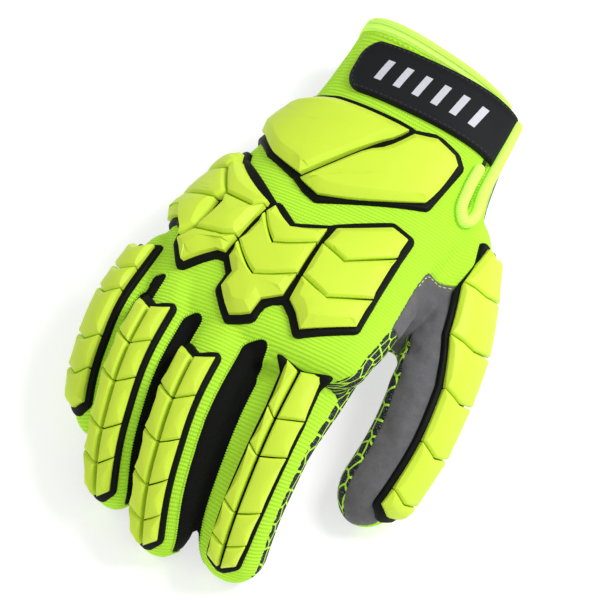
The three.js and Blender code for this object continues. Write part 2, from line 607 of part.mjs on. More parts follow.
// Guards on the back of the hand
const sheet = backHand(SHEET, SEAM_GAP).subtract(clearance);
show("wrist_sheet", sheet.intersect(straightDown(WRIST_OUTLINE)), materials.sheet);
show("knuckle_sheet", sheet.intersect(straightDown(KNUCKLE_OUTLINE)), materials.sheet);
for (const [name, spots] of Object.entries({ ...WRIST_PADS, ...KNUCKLE_PADS }))
  show(name, padBlank(body, spots, PAD_TOP).subtract(sheetTop), materials.pad);

// Guards on the digits
function edgesAt(rows, along) {
  const next = Math.max(1, rows.findIndex((row) => row.along >= along));
  const [from, to] = [rows[next - 1], rows[next]];
  const part = (along - from.along) / (to.along - from.along);
  return {
    left: THREE.MathUtils.lerp(from.left, to.left, part),
    right: THREE.MathUtils.lerp(from.right, to.right, part),
  };
}
for (const [name, guard] of Object.entries(GUARDS)) {
  const tube = digits[name];
  const inDegrees = (distance) => THREE.MathUtils.radToDeg(distance / (DIGITS[name].half * FINGER_WIDTH));
  const length = DIGITS[name].length * FINGER_LENGTH;
  const under = strip(tube, guard.rows, PAD_FOOT, 3 * SHEET).intersect(tubeSolid(tube, SHEET));
  show(`${name}_sheet`, under.subtract(clearance), materials.sheet);
  guard.breaks.slice(1).forEach((end, i) => {
    const start = guard.breaks[i] + ROW_GAP / length;
    const corner = (along, side) => ({
      along: along - guard.vee,
      turn: edgesAt(guard.rows, along)[side] + (side === "left" ? 1 : -1) * inDegrees(BORDER),
    });
    const middle = (along) => {
      const edges = edgesAt(guard.rows, along);
      return { along, turn: guard.halves === 2 ? 0 : (edges.left + edges.right) / 2 };
    };
    const whole = [corner(start, "left"), middle(start), corner(start, "right"),
      corner(end, "right"), middle(end), corner(end, "left")];
    const loops = guard.halves === 2 ? [[0, 1, 4, 5], [1, 2, 3, 4]] : undefined;
    const pad = padBlank(tube, whole, FINGER_PAD_TOP, loops);
    show(`${name}_pad_${i + 1}`, pad.subtract(sheetTop), materials.pad);
  });
}

export default group;
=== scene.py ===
"""Looks of the impact glove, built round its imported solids. Lengths in this file are millimetres."""

import math

import bpy
import numpy as np
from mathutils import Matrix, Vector


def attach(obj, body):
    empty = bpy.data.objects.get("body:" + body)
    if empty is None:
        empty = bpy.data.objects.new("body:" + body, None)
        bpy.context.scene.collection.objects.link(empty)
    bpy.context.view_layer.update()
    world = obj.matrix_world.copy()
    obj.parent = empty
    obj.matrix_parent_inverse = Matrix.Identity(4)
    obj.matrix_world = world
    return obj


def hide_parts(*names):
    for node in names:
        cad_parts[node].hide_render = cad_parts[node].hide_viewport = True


bl_info = {
    "name": "Impact Glove Looks",
    "version": (1, 0, 0),
    "blender": (4, 5, 0),
    "location": "View3D > Sidebar > Glove",
    "description": "Knit shell, leather palm, moulded rubber guards, strap and stage of an impact glove",
    "category": "Object",
}

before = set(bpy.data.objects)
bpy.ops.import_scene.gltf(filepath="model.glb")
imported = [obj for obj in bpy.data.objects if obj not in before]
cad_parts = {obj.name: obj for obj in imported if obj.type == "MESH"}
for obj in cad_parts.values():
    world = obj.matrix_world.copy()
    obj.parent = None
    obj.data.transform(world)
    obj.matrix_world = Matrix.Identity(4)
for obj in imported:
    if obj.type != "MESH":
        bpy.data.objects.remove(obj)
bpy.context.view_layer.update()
MM = 0.001

# Sizes of the hand's form, as in the part
PALM_WIDTH = 108
BODY_LENGTH = 161
WRIST_DEPTH = 50
MOUTH_Y = 54
FINGER_LENGTH = 108
FINGER_WIDTH = 27
FABRIC = 2.2
# Share along, then across, half width, height, thickness, lean and skew
BODY_ROWS = (
    (0.0, 0.0, 0.35, 0.53, 0.55, 0, 0.14),
    (0.11, 0.0, 0.365, 0.49, 0.51, 0, 0.1),
    (0.25, 0.0, 0.396, 0.48, 0.5, -1, 0.04),
    (0.4, -0.015, 0.465, 0.505, 0.515, -4, 0),
    (0.57, -0.063, 0.486, 0.64, 0.45, -8, 0),
    (0.73, -0.102, 0.496, 0.79, 0.4, -11, 0),
    (0.88, -0.114, 0.481, 0.87, 0.34, -14, 0),
    (0.96, -0.112, 0.45, 0.88, 0.26, -15, 0),
    (1.0, -0.112, 0.35, 0.87, 0.14, -15, 0),
)
BODY_SQUARE = 2.5
DIGIT_COLUMNS = ("x", "y", "z", "length", "half", "deep", "heading", "pitch", "roll", "curl")
DIGITS = {
    "index": (0.178, -0.5, 0.94, 1.04, 0.57, 0.45, 1, 4, -4, 44),
    "middle": (-0.162, -0.53, 0.93, 1.04, 0.47, 0.44, -1, 3, -20, 50),
    "ring": (-0.402, -0.495, 0.83, 0.98, 0.44, 0.42, -2, 2, -25, 48),
    "little": (-0.542, -0.41, 0.62, 0.84, 0.4, 0.38, -8, 0, -48, 38),
    "thumb": (0.318, 0.0, 0.5, 1.31, 0.55, 0.58, 24, -1, 60, 37),
    "web": (0.188, -0.24, 0.5, 0.35, 0.95, 0.44, 80, 3, 0, 0),
}
DIGIT_SQUARE = 2.3
TAPER = 0.14
TIP_REACH = 1.15
ROOT_SHARE = 0.12
ROOT_NARROW = 0.6
EVEN_BEND = 0.25
JOINTS = ((0.42, 0.28, 0.56), (0.33, 0.6, 0.84))
WALK_STEPS = 60
SMALLEST = 0.05

# The side walls of neighbouring fingers puff out until they are this far apart
WALL_GAP = 1.8
MOST_PUFF = 7.5
# and the sides that face each other across the thumb's crotch puff out, by share of length
CROTCH_PUFFS = {
    "body": ((0.62, 0.74, 0.85, 1.0), (0.0, 3.0, 4.5, 4.5)),
    "index": ((0.0, 0.1, 0.25, 0.45, 0.7, 0.9), (4.0, 4.5, 3.5, 1.0, 0.0, 0.0)),
    "thumb": ((0.3, 0.45, 0.6, 0.8), (0.0, 3.0, 2.5, 0.0)),
}
CROTCH = (48, -52, 38)
CROTCH_REACH = 48
FILL_ROUNDS = 500
THUMB_FOLDS = (
    ((0.44, -125), (0.53, -62), 1.3), ((0.5, -122), (0.63, -80), 1.0), ((0.36, -100), (0.4, -62), 0.7),
    ((0.68, -110), (0.78, -60), 0.5),
)
FOLD_WIDTH = 2.6
NEIGHBOURS = (("index", "middle"), ("middle", "ring"), ("ring", "little"))

# Guards: outlines on the body as (along, turn) and, where an edge hangs past the side, a lift
SHEET = 2.0
PAD_TOP = 6.5
FINGER_PAD_TOP = 5.6
PAD_FOOT = 0.8
HAND_FACETS = {"steep": 1.2, "broad": 3.0, "tip": 2.6, "drop": 2.4, "crown": 0.5}
FINGER_FACETS = {"steep": 0.9, "broad": 2.0, "tip": 1.2, "drop": 1.7, "crown": 0.4}
WRIST_OUTER_FACET = 4.5
TOP_RINGS = (1.0, 0.7, 0.4, 0.18)
PAD_STEP = 4.0
BESIDE_STEP = 1.2
COLUMN_GAP = 0.9
ROW_GAP = 0.6
BORDER = 3.0
BORDER_SHOWN = 3.2
HANG = 9.0
WRIST_OUTLINE = (
    (0.235, -52), (0.222, -30), (0.215, 2), (0.215, 28), (0.235, 40), (0.42, 34), (0.455, 29),
    (0.547, -3), (0.5, -15), (0.43, -57), (0.4, -88, HANG), (0.29, -88, HANG),
)
KNUCKLE_OUTLINE = (
    (0.44, -66), (0.47, -50), (0.622, -1), (0.573, 6), (0.505, 26), (0.505, 35), (0.525, 42),
    (0.7, 53), (0.864, 61), (0.936, 26), (0.89, 19), (0.866, 14), (0.866, 9), (0.9, 6), (0.938, 6),
    (0.962, -1), (0.888, -9.5), (0.845, -8), (0.812, -11), (0.802, -17), (0.83, -23), (0.866, -32),
    (0.801, -44), (0.745, -46), (0.725, -60), (0.725, -88, HANG), (0.44, -88, HANG),
)
BACK_PADS = {
    "wrist_pad_outer": (
        (0.25, -34), (0.245, 0), (0.247, 4), (0.36, -4.8), (0.485, -14.5), (0.45, -35),
        (0.402, -53), (0.374, -70), (0.362, -80), (0.312, -80), (0.267, -66),
    ),
    "wrist_pad_inner": (
        (0.249, 6.6), (0.228, 17), (0.242, 30), (0.262, 34.5), (0.412, 29.3), (0.523, -3),
        (0.5, -12.3), (0.36, -2.5),
    ),
    "knuckle_pad_index_1": (
        (0.6, 9.5), (0.525, 27), (0.535, 38), (0.603, 41), (0.686, 23), (0.66, 10.5),
    ),
    "knuckle_pad_index_2": (
        (0.666, 10.5), (0.692, 23), (0.61, 41.5), (0.748, 49), (0.808, 28), (0.775, 13.5),
    ),
    "knuckle_pad_index_3": (
        (0.781, 13.5), (0.814, 28), (0.755, 49.5), (0.84, 54), (0.912, 27), (0.875, 21), (0.848, 15),
    ),
    "knuckle_pad_middle_1": (
        (0.605, -10.5), (0.65, -1), (0.614, 7), (0.666, 8.5), (0.715, -1), (0.635, -10.5),
    ),
    "knuckle_pad_middle_2": (
        (0.641, -10.5), (0.721, -1), (0.672, 8.5), (0.775, 11), (0.822, 0), (0.744, -10.5),
    ),
    "knuckle_pad_middle_3": (
        (0.75, -10.5), (0.828, 0), (0.781, 11), (0.845, 11.5), (0.875, 5), (0.92, 4), (0.94, -1),
        (0.88, -7), (0.835, -6), (0.795, -10.5),
    ),
    "knuckle_pad_ring_1": (
        (0.5, -50), (0.6, -14.5), (0.612, -14), (0.63, -17), (0.616, -33), (0.535, -49),
    ),
    "knuckle_pad_ring_2": (
        (0.622, -33), (0.636, -17), (0.618, -14), (0.73, -13.5), (0.742, -18), (0.746, -32),
    ),
    "knuckle_pad_ring_3": (
        (0.752, -32), (0.748, -18), (0.737, -13.5), (0.785, -14), (0.785, -18), (0.81, -24),
        (0.842, -31.5), (0.79, -40),
    ),
    "knuckle_pad_little_1": (
        (0.465, -60), (0.497, -52), (0.53, -51), (0.545, -84), (0.47, -84),
    ),
    "knuckle_pad_little_2": (
        (0.536, -51), (0.614, -35), (0.636, -38), (0.63, -84), (0.551, -84),
    ),
    "knuckle_pad_little_3": (
        (0.642, -38), (0.74, -34.5), (0.775, -41), (0.712, -51), (0.705, -84), (0.636, -84),
        (0.636, -60),
    ),
}
# Guards on the digits: halves across, how far an edge runs ahead at the crest, the shares of the
# length where pads end, and the edges of the black rubber as (along, left turn, right turn)
GUARDS = {
    "index": (2, 0.026, (0.215, 0.39, 0.51, 0.71, 0.82, 0.91), (
        (0.185, -31, 36), (0.4, -23, 44), (0.6, -27, 42), (0.78, -31, 37), (0.94, -31, 29))),
    "middle": (2, 0.03, (0.29, 0.43, 0.57, 0.71, 0.82, 0.92), (
        (0.23, -42, 42), (0.4, -42, 42), (0.6, -42, 42), (0.78, -40, 40), (0.95, -36, 36))),
    "ring": (2, 0.03, (0.24, 0.385, 0.51, 0.68, 0.79, 0.92), (
        (0.18, -43, 43), (0.38, -43, 43), (0.58, -43, 43), (0.78, -41, 41), (0.95, -36, 36))),
    "little": (1, 0.03, (0.15, 0.29, 0.4, 0.6, 0.74, 0.88), (
        (0.1, -44, 44), (0.35, -44, 44), (0.6, -44, 44), (0.78, -42, 42), (0.92, -38, 38))),
    "thumb": (1, 0.018, (0.145, 0.283, 0.435, 0.575, 0.73, 0.875, 0.93), (
        (0.1, -12, 32), (0.19, -20, 36), (0.285, -54, 40), (0.38, -66, 42), (0.46, -58, 42),
        (0.55, -43, 42), (0.78, -38, 40), (0.95, -37, 36))),
}

# Cuff
HEM_SHARE = 0.036
HEM_ROLL = 1.75
SLIT_OUTLINE = (
    (-0.05, 64), (0.18, 57), (0.34, 53), (0.365, 57), (0.34, 61), (0.18, 66), (-0.05, 73),
)
BINDING = 2.5
BINDING_ROUTE = (
    (0.205, 53), (0.3, 50), (0.36, 50.5), (0.388, 57), (0.36, 63.5), (0.27, 66), (0.16, 71),
    (0.05, 76), (0.012, 77),
)
STRAP_THICKNESS = 2.6
STRAP_WIDTH = 24
STRAP_ROUND = 9
STRAP_FROM = -0.287 * PALM_WIDTH
STRAP_TO = 0.357 * PALM_WIDTH
STRAP_EDGE = MOUTH_Y - 0.195 * BODY_LENGTH

# The photograph's camera, near enough to parallel that one scale holds over the glove
VIEW_AZIMUTH = 28.1
VIEW_ELEVATION = 63.9
VIEW_DISTANCE = 6000
PIXELS_PER_MM = 2.432
ORIGIN_PIXEL = (381.5, 210.1)
IMAGE_SIZE = 600
FLOOR_HALF = 4000
FLOOR_DROP = 0.3
SENSOR = 36


def cubic(times, values, t):
    """Smooth curve through rows of values, with no bend at its two ends."""
    times = np.asarray(times, float)
    values = np.asarray(values, float)
    t = np.asarray(t, float)
    last = len(times) - 1
    i1 = np.clip(np.searchsorted(times, t, side="right"), 1, last)
    i0 = i1 - 1
    before = np.where(i0 == 0, i1, i0 - 1)
    after = np.where(i1 == last, i0, np.minimum(i1 + 1, last))
    t0, t1 = times[i0], times[i1]
    half_step = (t1 - t0) / 2
    weight_before = half_step / (t0 - times[before])
    weight_after = half_step / (times[after] - t1)
    p = ((t - t0) / (t1 - t0))[..., None]
    wp, wn = weight_before[..., None], weight_after[..., None]
    s_before = -wp * p**3 + 2 * wp * p**2 - wp * p
    s0 = (1 + wp) * p**3 + (-1.5 - 2 * wp) * p**2 + (-0.5 + wp) * p + 1
    s1 = (-1 - wn) * p**3 + (1.5 + wn) * p**2 + 0.5 * p
    s_after = wn * p**3 - wn * p**2
    return s_before * values[before] + s0 * values[i0] + s1 * values[i1] + s_after * values[after]


def smoothstep(x, low, high):
    """Eased rise from 0 at low to 1 at high."""
    t = np.clip((x - low) / (high - low), 0, 1)
    return t * t * (3 - 2 * t)


class Body:
    """The hand's body: sections by a share of its length from the cuff edge."""

    name = "body"
    square = BODY_SQUARE
    length = BODY_LENGTH
    reach = PALM_WIDTH / 2
    puffs = {}

    def section(self, share):
        rows = np.array(BODY_ROWS, float)
        across, half, height, thick, lean, skew = cubic(rows[:, 0], rows[:, 1:], share).T
        tilt = np.radians(lean)
        nought = np.zeros_like(tilt)
        return {
            "at": np.stack(
                [across * PALM_WIDTH, MOUTH_Y - share * BODY_LENGTH, height * WRIST_DEPTH], 1
            ),
            "half": half * PALM_WIDTH,
            "thick": thick * WRIST_DEPTH,
            "side": np.stack([np.cos(tilt), -skew, -np.sin(tilt)], 1),
            "up": np.stack([np.sin(tilt), nought, np.cos(tilt)], 1),
            "tilt": tilt,
        }

    def locate(self, points):
        """Share, and place across and up in the section, of each point."""
        share = (MOUTH_Y - points[:, 1]) / BODY_LENGTH
        for _ in range(6):
            s = self.section(np.clip(share, 0, 1))
            off = points - s["at"]
            across = off[:, 0] * np.cos(s["tilt"]) - off[:, 2] * np.sin(s["tilt"])
            share = (MOUTH_Y - points[:, 1] + s["side"][:, 1] * across) / BODY_LENGTH
        past = np.maximum(share - 1, 0) * self.length
        s = self.section(np.clip(share, 0, 1))
        off = points - s["at"]
        across = off[:, 0] * np.cos(s["tilt"]) - off[:, 2] * np.sin(s["tilt"])
        up = (off * s["up"]).sum(1)
        return {"share": share, "across": across, "rise": up, "past": past, **s}


class Digit:
    """A digit: its line is walked in small steps, and its section follows."""

    square = DIGIT_SQUARE

    def __init__(self, name):
        values = dict(zip(DIGIT_COLUMNS, DIGITS[name]))
        self.name = name
        self.half = values["half"] * FINGER_WIDTH
        self.deep = values["deep"] * FINGER_WIDTH
        self.length = values["length"] * FINGER_LENGTH
        heading, pitch, roll, curl = (
            math.radians(values[key]) for key in ("heading", "pitch", "roll", "curl")
        )
        forward = Vector(
            (
                math.sin(heading) * math.cos(pitch),
                -math.cos(heading) * math.cos(pitch),
                -math.sin(pitch),
            )
        )
        side = Vector((0, 0, 1)).cross(forward).normalized()
        side.rotate(quaternion(forward, -roll))
        at = Vector(
            (values["x"] * PALM_WIDTH, values["y"] * BODY_LENGTH, values["z"] * WRIST_DEPTH)
        )
        places, directions = [], []
        for step in range(WALK_STEPS + 1):
            places.append(at.copy())
            directions.append(forward.copy())
            bend = bent_so_far((step + 1) / WALK_STEPS) - bent_so_far(step / WALK_STEPS)
            at = at + forward * (self.length / WALK_STEPS)
            forward.rotate(quaternion(side, curl * bend))
        self.places = np.array(places)
        self.directions = np.array(directions)
        self.side = np.array(side)
        self.reach = self.half
        self.puffs = {}

    def section(self, share):
        step = np.clip((share * WALK_STEPS).astype(int), 0, WALK_STEPS - 1)
        part = (share * WALK_STEPS - step)[:, None]
        forward = self.directions[step] * (1 - part) + self.directions[step + 1] * part
        forward /= np.linalg.norm(forward, axis=1)[:, None]
        round_from = 1 - self.deep * TIP_REACH / self.length
        tip = np.clip((share - round_from) / (1 - round_from), 0, 1)
        root = np.clip(1 - share / ROOT_SHARE, 0, 1)
        rounded = np.sqrt(1 - tip**2) * np.sqrt(1 - ROOT_NARROW * root**2)
        size = (1 - TAPER * share) * rounded
        return {
            "at": self.places[step] * (1 - part) + self.places[step + 1] * part,
            "half": self.half * size,
            "thick": self.deep * size,
            "side": np.repeat(self.side[None], len(share), 0),
            "up": np.cross(forward, self.side),
            "forward": forward,
        }

    def locate(self, points):
        fine = np.linspace(0, 1, 4 * WALK_STEPS + 1)
        line = self.section(fine)
        best = np.full(len(points), np.inf)
        share = np.zeros(len(points))
        for one, at in zip(fine, line["at"]):
            distance = ((points - at) ** 2).sum(1)
            closer = distance < best
            best[closer] = distance[closer]
            share[closer] = one
        for _ in range(3):
            s = self.section(share)
            share = np.clip(share + ((points - s["at"]) * s["forward"]).sum(1) / self.length, 0, 1)
        s = self.section(share)
        off = points - s["at"]
        past = np.abs((off * s["forward"]).sum(1))
        up = (off * s["up"]).sum(1)
        return {"share": share, "across": off @ self.side, "rise": up, "past": past, **s}


def quaternion(axis, angle):
    """Turn by an angle about an axis."""
    from_axis = Vector(axis).normalized()
    half = angle / 2
    turned = from_axis * math.sin(half)
    return type(Vector().to_track_quat())((math.cos(half), *turned))


def bent_so_far(share):
    """Share of a digit's curl that is reached at a share of its length."""
    total = EVEN_BEND * share
    for bend, low, high in JOINTS:
        total += bend * float(smoothstep(share, low, high))
    return total


BODY = Body()
DIGIT = {name: Digit(name) for name in DIGITS}


def power(x, n):
    """Power that keeps the sign of its base."""
    return np.sign(x) * np.abs(x) ** n


def surface(tube, along, turn, h=0.0, puffed=False):
    """Points on a tube at shares of its length and turns from its crest, pushed out by h."""
    along, turn, h = np.broadcast_arrays(
        np.asarray(along, float), np.asarray(turn, float), np.asarray(h, float)
    )
    shape = along.shape
    along, angle, h = along.ravel(), np.radians(turn.ravel()), h.ravel()
    s = tube.section(along)
    across = power(np.sin(angle), 2 / tube.square) * np.maximum(s["half"] + h, SMALLEST)
    up = power(np.cos(angle), 2 / tube.square) * np.maximum(s["thick"] + h, SMALLEST)
    if puffed:
        for side, (shares, puffs) in tube.puffs.items():
            far = smoothstep(side * np.sin(angle), 0.7, 1.0)
            across += side * far * np.interp(along, shares, puffs)
    points = s["at"] + s["side"] * across[:, None] + s["up"] * up[:, None]
    return points.reshape(*shape, 3)


def set_puffs():
    """Puffs the side walls of neighbouring fingers out until they nearly meet."""
    shares = np.linspace(0, 1, 41)
    ends = smoothstep(shares, 0.0, 0.14) * (1 - smoothstep(shares, 0.78, 1.0))
    for thumb_side, little_side in NEIGHBOURS:
        walls = [surface(DIGIT[thumb_side], shares, -90), surface(DIGIT[little_side], shares, 90)]
        gaps = np.linalg.norm(walls[0][:, None] - walls[1][None], axis=2)
        for name, side, axis in ((thumb_side, -1, 1), (little_side, 1, 0)):
            puff = np.clip((gaps.min(axis) - WALL_GAP) / 2, 0, MOST_PUFF)
            DIGIT[name].puffs[side] = (shares, puff * ends)
    DIGIT["index"].puffs[1] = CROTCH_PUFFS["index"]
    DIGIT["thumb"].puffs[-1] = CROTCH_PUFFS["thumb"]
    BODY.puffs[1] = CROTCH_PUFFS["body"]


def turn_of(tube, place):
    """Turn from the crest at which a place lies in its section."""
    n = tube.square / 2
    across = power(place["across"] / np.maximum(place["half"], SMALLEST), n)
    return np.degrees(np.arctan2(across, power(place["rise"] / np.maximum(place["thick"], SMALLEST), n)))


# Meshes as arrays of points and triangles
def vertex_normals(points, faces):
    """Each vertex's outward direction, from the triangles round it."""
    a, b, c = (points[faces[:, i]] for i in range(3))
    face = np.cross(b - a, c - a)
    normals = np.zeros_like(points)
    for i in range(3):
        for axis in range(3):
            normals[:, axis] += np.bincount(faces[:, i], face[:, axis], len(points))
    return normals / np.maximum(np.linalg.norm(normals, axis=1), 1e-12)[:, None]


def edges_of(faces):
    """Every edge of the triangles once."""
    pairs = np.sort(np.concatenate([faces[:, [0, 1]], faces[:, [1, 2]], faces[:, [2, 0]]]), 1)
    return np.unique(pairs, axis=0)


def neighbour_mean(values, edges):
    """Mean of each vertex's neighbours."""
    a, b = edges.T
    count = len(values)
    degree = np.bincount(a, minlength=count) + np.bincount(b, minlength=count)
    total = np.zeros_like(values)
    for column in range(values.shape[1]):
        total[:, column] = np.bincount(a, values[b, column], count)
        total[:, column] += np.bincount(b, values[a, column], count)
    return total / np.maximum(degree, 1)[:, None]


def relaxed(values, edges, rounds, shrink=0.5, grow=-0.53):
    """Evens values out over a mesh; with grow, a form keeps its size."""
    for _ in range(rounds):
        values = values + shrink * (neighbour_mean(values, edges) - values)
        if grow:
            values = values + grow * (neighbour_mean(values, edges) - values)
    return values


def resting(points):
    """Points pressed flat where the glove lies on the floor."""
    return np.column_stack([points[:, :2], np.maximum(points[:, 2], 0.0)])


def folds(points):
    """Depth of the soft folds in the leather round the root of the thumb."""
    depth = np.zeros(len(points))
    for start, end, most in THUMB_FOLDS:
        line = surface(DIGIT["thumb"], np.linspace(start[0], end[0], 25), np.linspace(start[1], end[1], 25))
        apart = np.linalg.norm(points[:, None] - line[None], axis=2)
        nearest = apart.argmin(1)
        away = apart.min(1) / FOLD_WIDTH
        ends = np.sin(np.pi * (nearest + 0.5) / len(line))
        depth += most * ends * (0.45 * np.exp(-((away - 1.9) ** 2)) - np.exp(-(away**2)))
    return depth


def filled(points, faces, edges, centre, reach, rounds):
    """Fills the hollows of a skin near a place, and leaves what bulges as it is."""
    far = np.linalg.norm(points - centre, axis=1)
    ids = np.where(far < reach)[0]
    local = np.full(len(points), -1)
    local[ids] = np.arange(len(ids))
    near_edges = local[edges]
    near_edges = near_edges[(near_edges >= 0).all(1)]
    normals = vertex_normals(points, faces)[ids]
    moved = relaxed(points[ids], near_edges, rounds, grow=0.0) - points[ids]
    outwards = smoothstep((moved * normals).sum(1), -0.4, 0.4)[:, None]
    outwards = relaxed(outwards, near_edges, 20, grow=0.0)
    weight = outwards * smoothstep(-far[ids], -reach, -reach * 0.6)[:, None]
    points = points.copy()
    points[ids] += moved * weight
    return relaxed(points, edges, 6)


def split_along(data, faces, field, level=0.0):
    """Cuts the triangles where a field passes a level; data is interpolated at the new points."""
    value = field(data) - level
    value = np.where(np.abs(value) < 1e-6, 1e-6, value)
    sign = value > 0
    count = sign[faces].sum(1)
    whole = (count == 0) | (count == 3)
    kept, cut = faces[whole], faces[~whole]
    if not len(cut):
        return data, faces
    lone_sign = count[~whole] == 1
    lone = np.argmax(sign[cut] == lone_sign[:, None], axis=1)
    order = (lone[:, None] + np.arange(3)) % 3
    a, b, c = np.take_along_axis(cut, order, 1).T
    pairs = np.concatenate([np.stack([a, b], 1), np.stack([a, c], 1)])
    unique, index = np.unique(np.sort(pairs, 1), axis=0, return_inverse=True)
    index = index.ravel()
    v0, v1 = value[unique[:, 0]], value[unique[:, 1]]
    part = (v0 / (v0 - v1))[:, None]
    added = data[unique[:, 0]] * (1 - part) + data[unique[:, 1]] * part
    p = index[: len(a)] + len(data)
    q = index[len(a) :] + len(data)
    pieces = [kept, np.stack([a, p, q], 1), np.stack([p, b, c], 1), np.stack([p, c, q], 1)]
    return np.concatenate([data, added]), np.concatenate(pieces)


def used_only(data, faces):
    """Drops the vertices that no triangle uses."""
    used, index = np.unique(faces, return_inverse=True)
    return data[used], index.reshape(faces.shape)


def rim_of(faces):
    """Directed edges that belong to one triangle only."""
    directed = np.concatenate([faces[:, [0, 1]], faces[:, [1, 2]], faces[:, [2, 0]]])
    key = np.sort(directed, 1)
    _, index, count = np.unique(key, axis=0, return_inverse=True, return_counts=True)
    return directed[count[index.ravel()] == 1]


def closed_wall(outer, inner, faces):
    """A closed solid between an outer surface and an inner one with the same triangles."""
    count = len(outer)
    rim = rim_of(faces)
    sides = np.concatenate(
        [
            np.stack([rim[:, 1], rim[:, 0], rim[:, 0] + count], 1),
            np.stack([rim[:, 1], rim[:, 0] + count, rim[:, 1] + count], 1),
        ]
    )
    return np.concatenate([outer, inner]), np.concatenate([faces, faces[:, ::-1] + count, sides])


def grid_faces(rows, columns, around=False):
    """Two triangles to each cell of a grid of points, row by row."""
    r = np.arange(rows - 1)[:, None]
    c = np.arange(columns if around else columns - 1)[None]
    a = r * columns + c
    b = r * columns + (c + 1) % columns
    a, b = a.ravel(), b.ravel()
    return np.concatenate([np.stack([a, b, b + columns], 1), np.stack([a, b + columns, a + columns], 1)])


def fan(first, count, middle, flip):
    """Triangles from a ring of points to one point in its middle."""
    i = np.arange(count)
    a, b = first + i, first + (i + 1) % count
    return np.stack([b, a, np.full(count, middle)] if flip else [a, b, np.full(count, middle)], 1)


def loft(rings):
    """A closed solid skinned over rings of equally many points."""
    rows, columns = rings.shape[:2]
    points = np.concatenate([rings.reshape(-1, 3), [rings[0].mean(0)], [rings[-1].mean(0)]])
    end = rows * columns
    faces = np.concatenate(
        [
            grid_faces(rows, columns, around=True),
            fan(0, columns, end, True),
            fan(end - columns, columns, end + 1, False),
        ]
    )
    return points, faces


def facing_out(points, faces):
    """Triangles wound so that the closed solid has a positive volume."""
    a, b, c = (points[faces[:, i]] for i in range(3))
    volume = (a * np.cross(b, c)).sum()
    return faces if volume > 0 else faces[:, ::-1]


def distance_to_outline(x, y, outline, closed=True):
    """Distance in a plane from each place to an outline, positive inside it."""
    corners = np.asarray(outline, float)
    ends = np.roll(corners, -1, 0)
    if not closed:
        corners, ends = corners[:-1], ends[:-1]
    best = np.full(len(x), np.inf)
    inside = np.zeros(len(x), bool)
    for (x0, y0), (x1, y1) in zip(corners, ends):
        dx, dy = x1 - x0, y1 - y0
        t = np.clip(((x - x0) * dx + (y - y0) * dy) / max(dx * dx + dy * dy, 1e-12), 0, 1)
        best = np.minimum(best, (x - x0 - t * dx) ** 2 + (y - y0 - t * dy) ** 2)
        if closed and y0 != y1:
            crosses = ((y0 > y) != (y1 > y)) & (x < dx * (y - y0) / dy + x0)
            inside ^= crosses
    distance = np.sqrt(best)
    return np.where(inside, distance, -distance) if closed else distance


def rounded(outline, radius, steps=5):
    """An outline with its corners rounded."""
    points = np.asarray(outline, float)
    made = []
    for i, corner in enumerate(points):
        before, after = points[i - 1], points[(i + 1) % len(points)]
        back, ahead = before - corner, after - corner
        reach_back = min(radius, 0.45 * np.linalg.norm(back)) / max(np.linalg.norm(back), 1e-9)
        reach_ahead = min(radius, 0.45 * np.linalg.norm(ahead)) / max(np.linalg.norm(ahead), 1e-9)
        start, end = corner + back * reach_back, corner + ahead * reach_ahead
        for t in np.linspace(0, 1, steps):
            made.append((1 - t) ** 2 * start + 2 * t * (1 - t) * corner + t * t * end)
    return np.array(made)


# Blender objects
def new_object(name, points, faces, smooth_below=50, uv=None):
    """A mesh object at the origin from millimetre points; edges steeper than a turn stay crisp."""
    mesh = bpy.data.meshes.new(name)
    faces = facing_out(points, faces)
    mesh.from_pydata((np.asarray(points) * MM).tolist(), [], np.asarray(faces).tolist())
    mesh.shade_smooth()
    mesh.set_sharp_from_angle(angle=math.radians(smooth_below))
    if uv is not None:
        layer = mesh.uv_layers.new(name="Cloth")
        loops = np.zeros(len(mesh.loops), np.int32)
        mesh.loops.foreach_get("vertex_index", loops)
        layer.data.foreach_set("uv", np.asarray(uv, np.float32)[loops].ravel())
    made = bpy.data.objects.new(name, mesh)
    bpy.context.scene.collection.objects.link(made)
    return made


def finish_piece(piece, material, slot, *nodes):
    """Gives a finished piece its material and its body, and hides the solids that it stands for."""
    piece.data.materials.clear()
    piece.data.materials.append(material)
    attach(piece, "root")
    if nodes:
        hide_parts(*nodes)
    return piece


def apply_modifiers(piece):
    """The mesh with its modifiers applied, on the same object."""
    depsgraph = bpy.context.evaluated_depsgraph_get()
    evaluated = piece.evaluated_get(depsgraph)
    mesh = bpy.data.meshes.new_from_object(evaluated)
    piece.modifiers.clear()
    piece.data = mesh
    return piece


def mesh_arrays(mesh):
    """Vertices and triangles of a mesh, in millimetres."""
    points = np.zeros(len(mesh.vertices) * 3)
    mesh.vertices.foreach_get("co", points)
    mesh.calc_loop_triangles()
    faces = np.zeros(len(mesh.loop_triangles) * 3, np.int32)
    mesh.loop_triangles.foreach_get("vertices", faces)
    return points.reshape(-1, 3) / MM, faces.reshape(-1, 3)


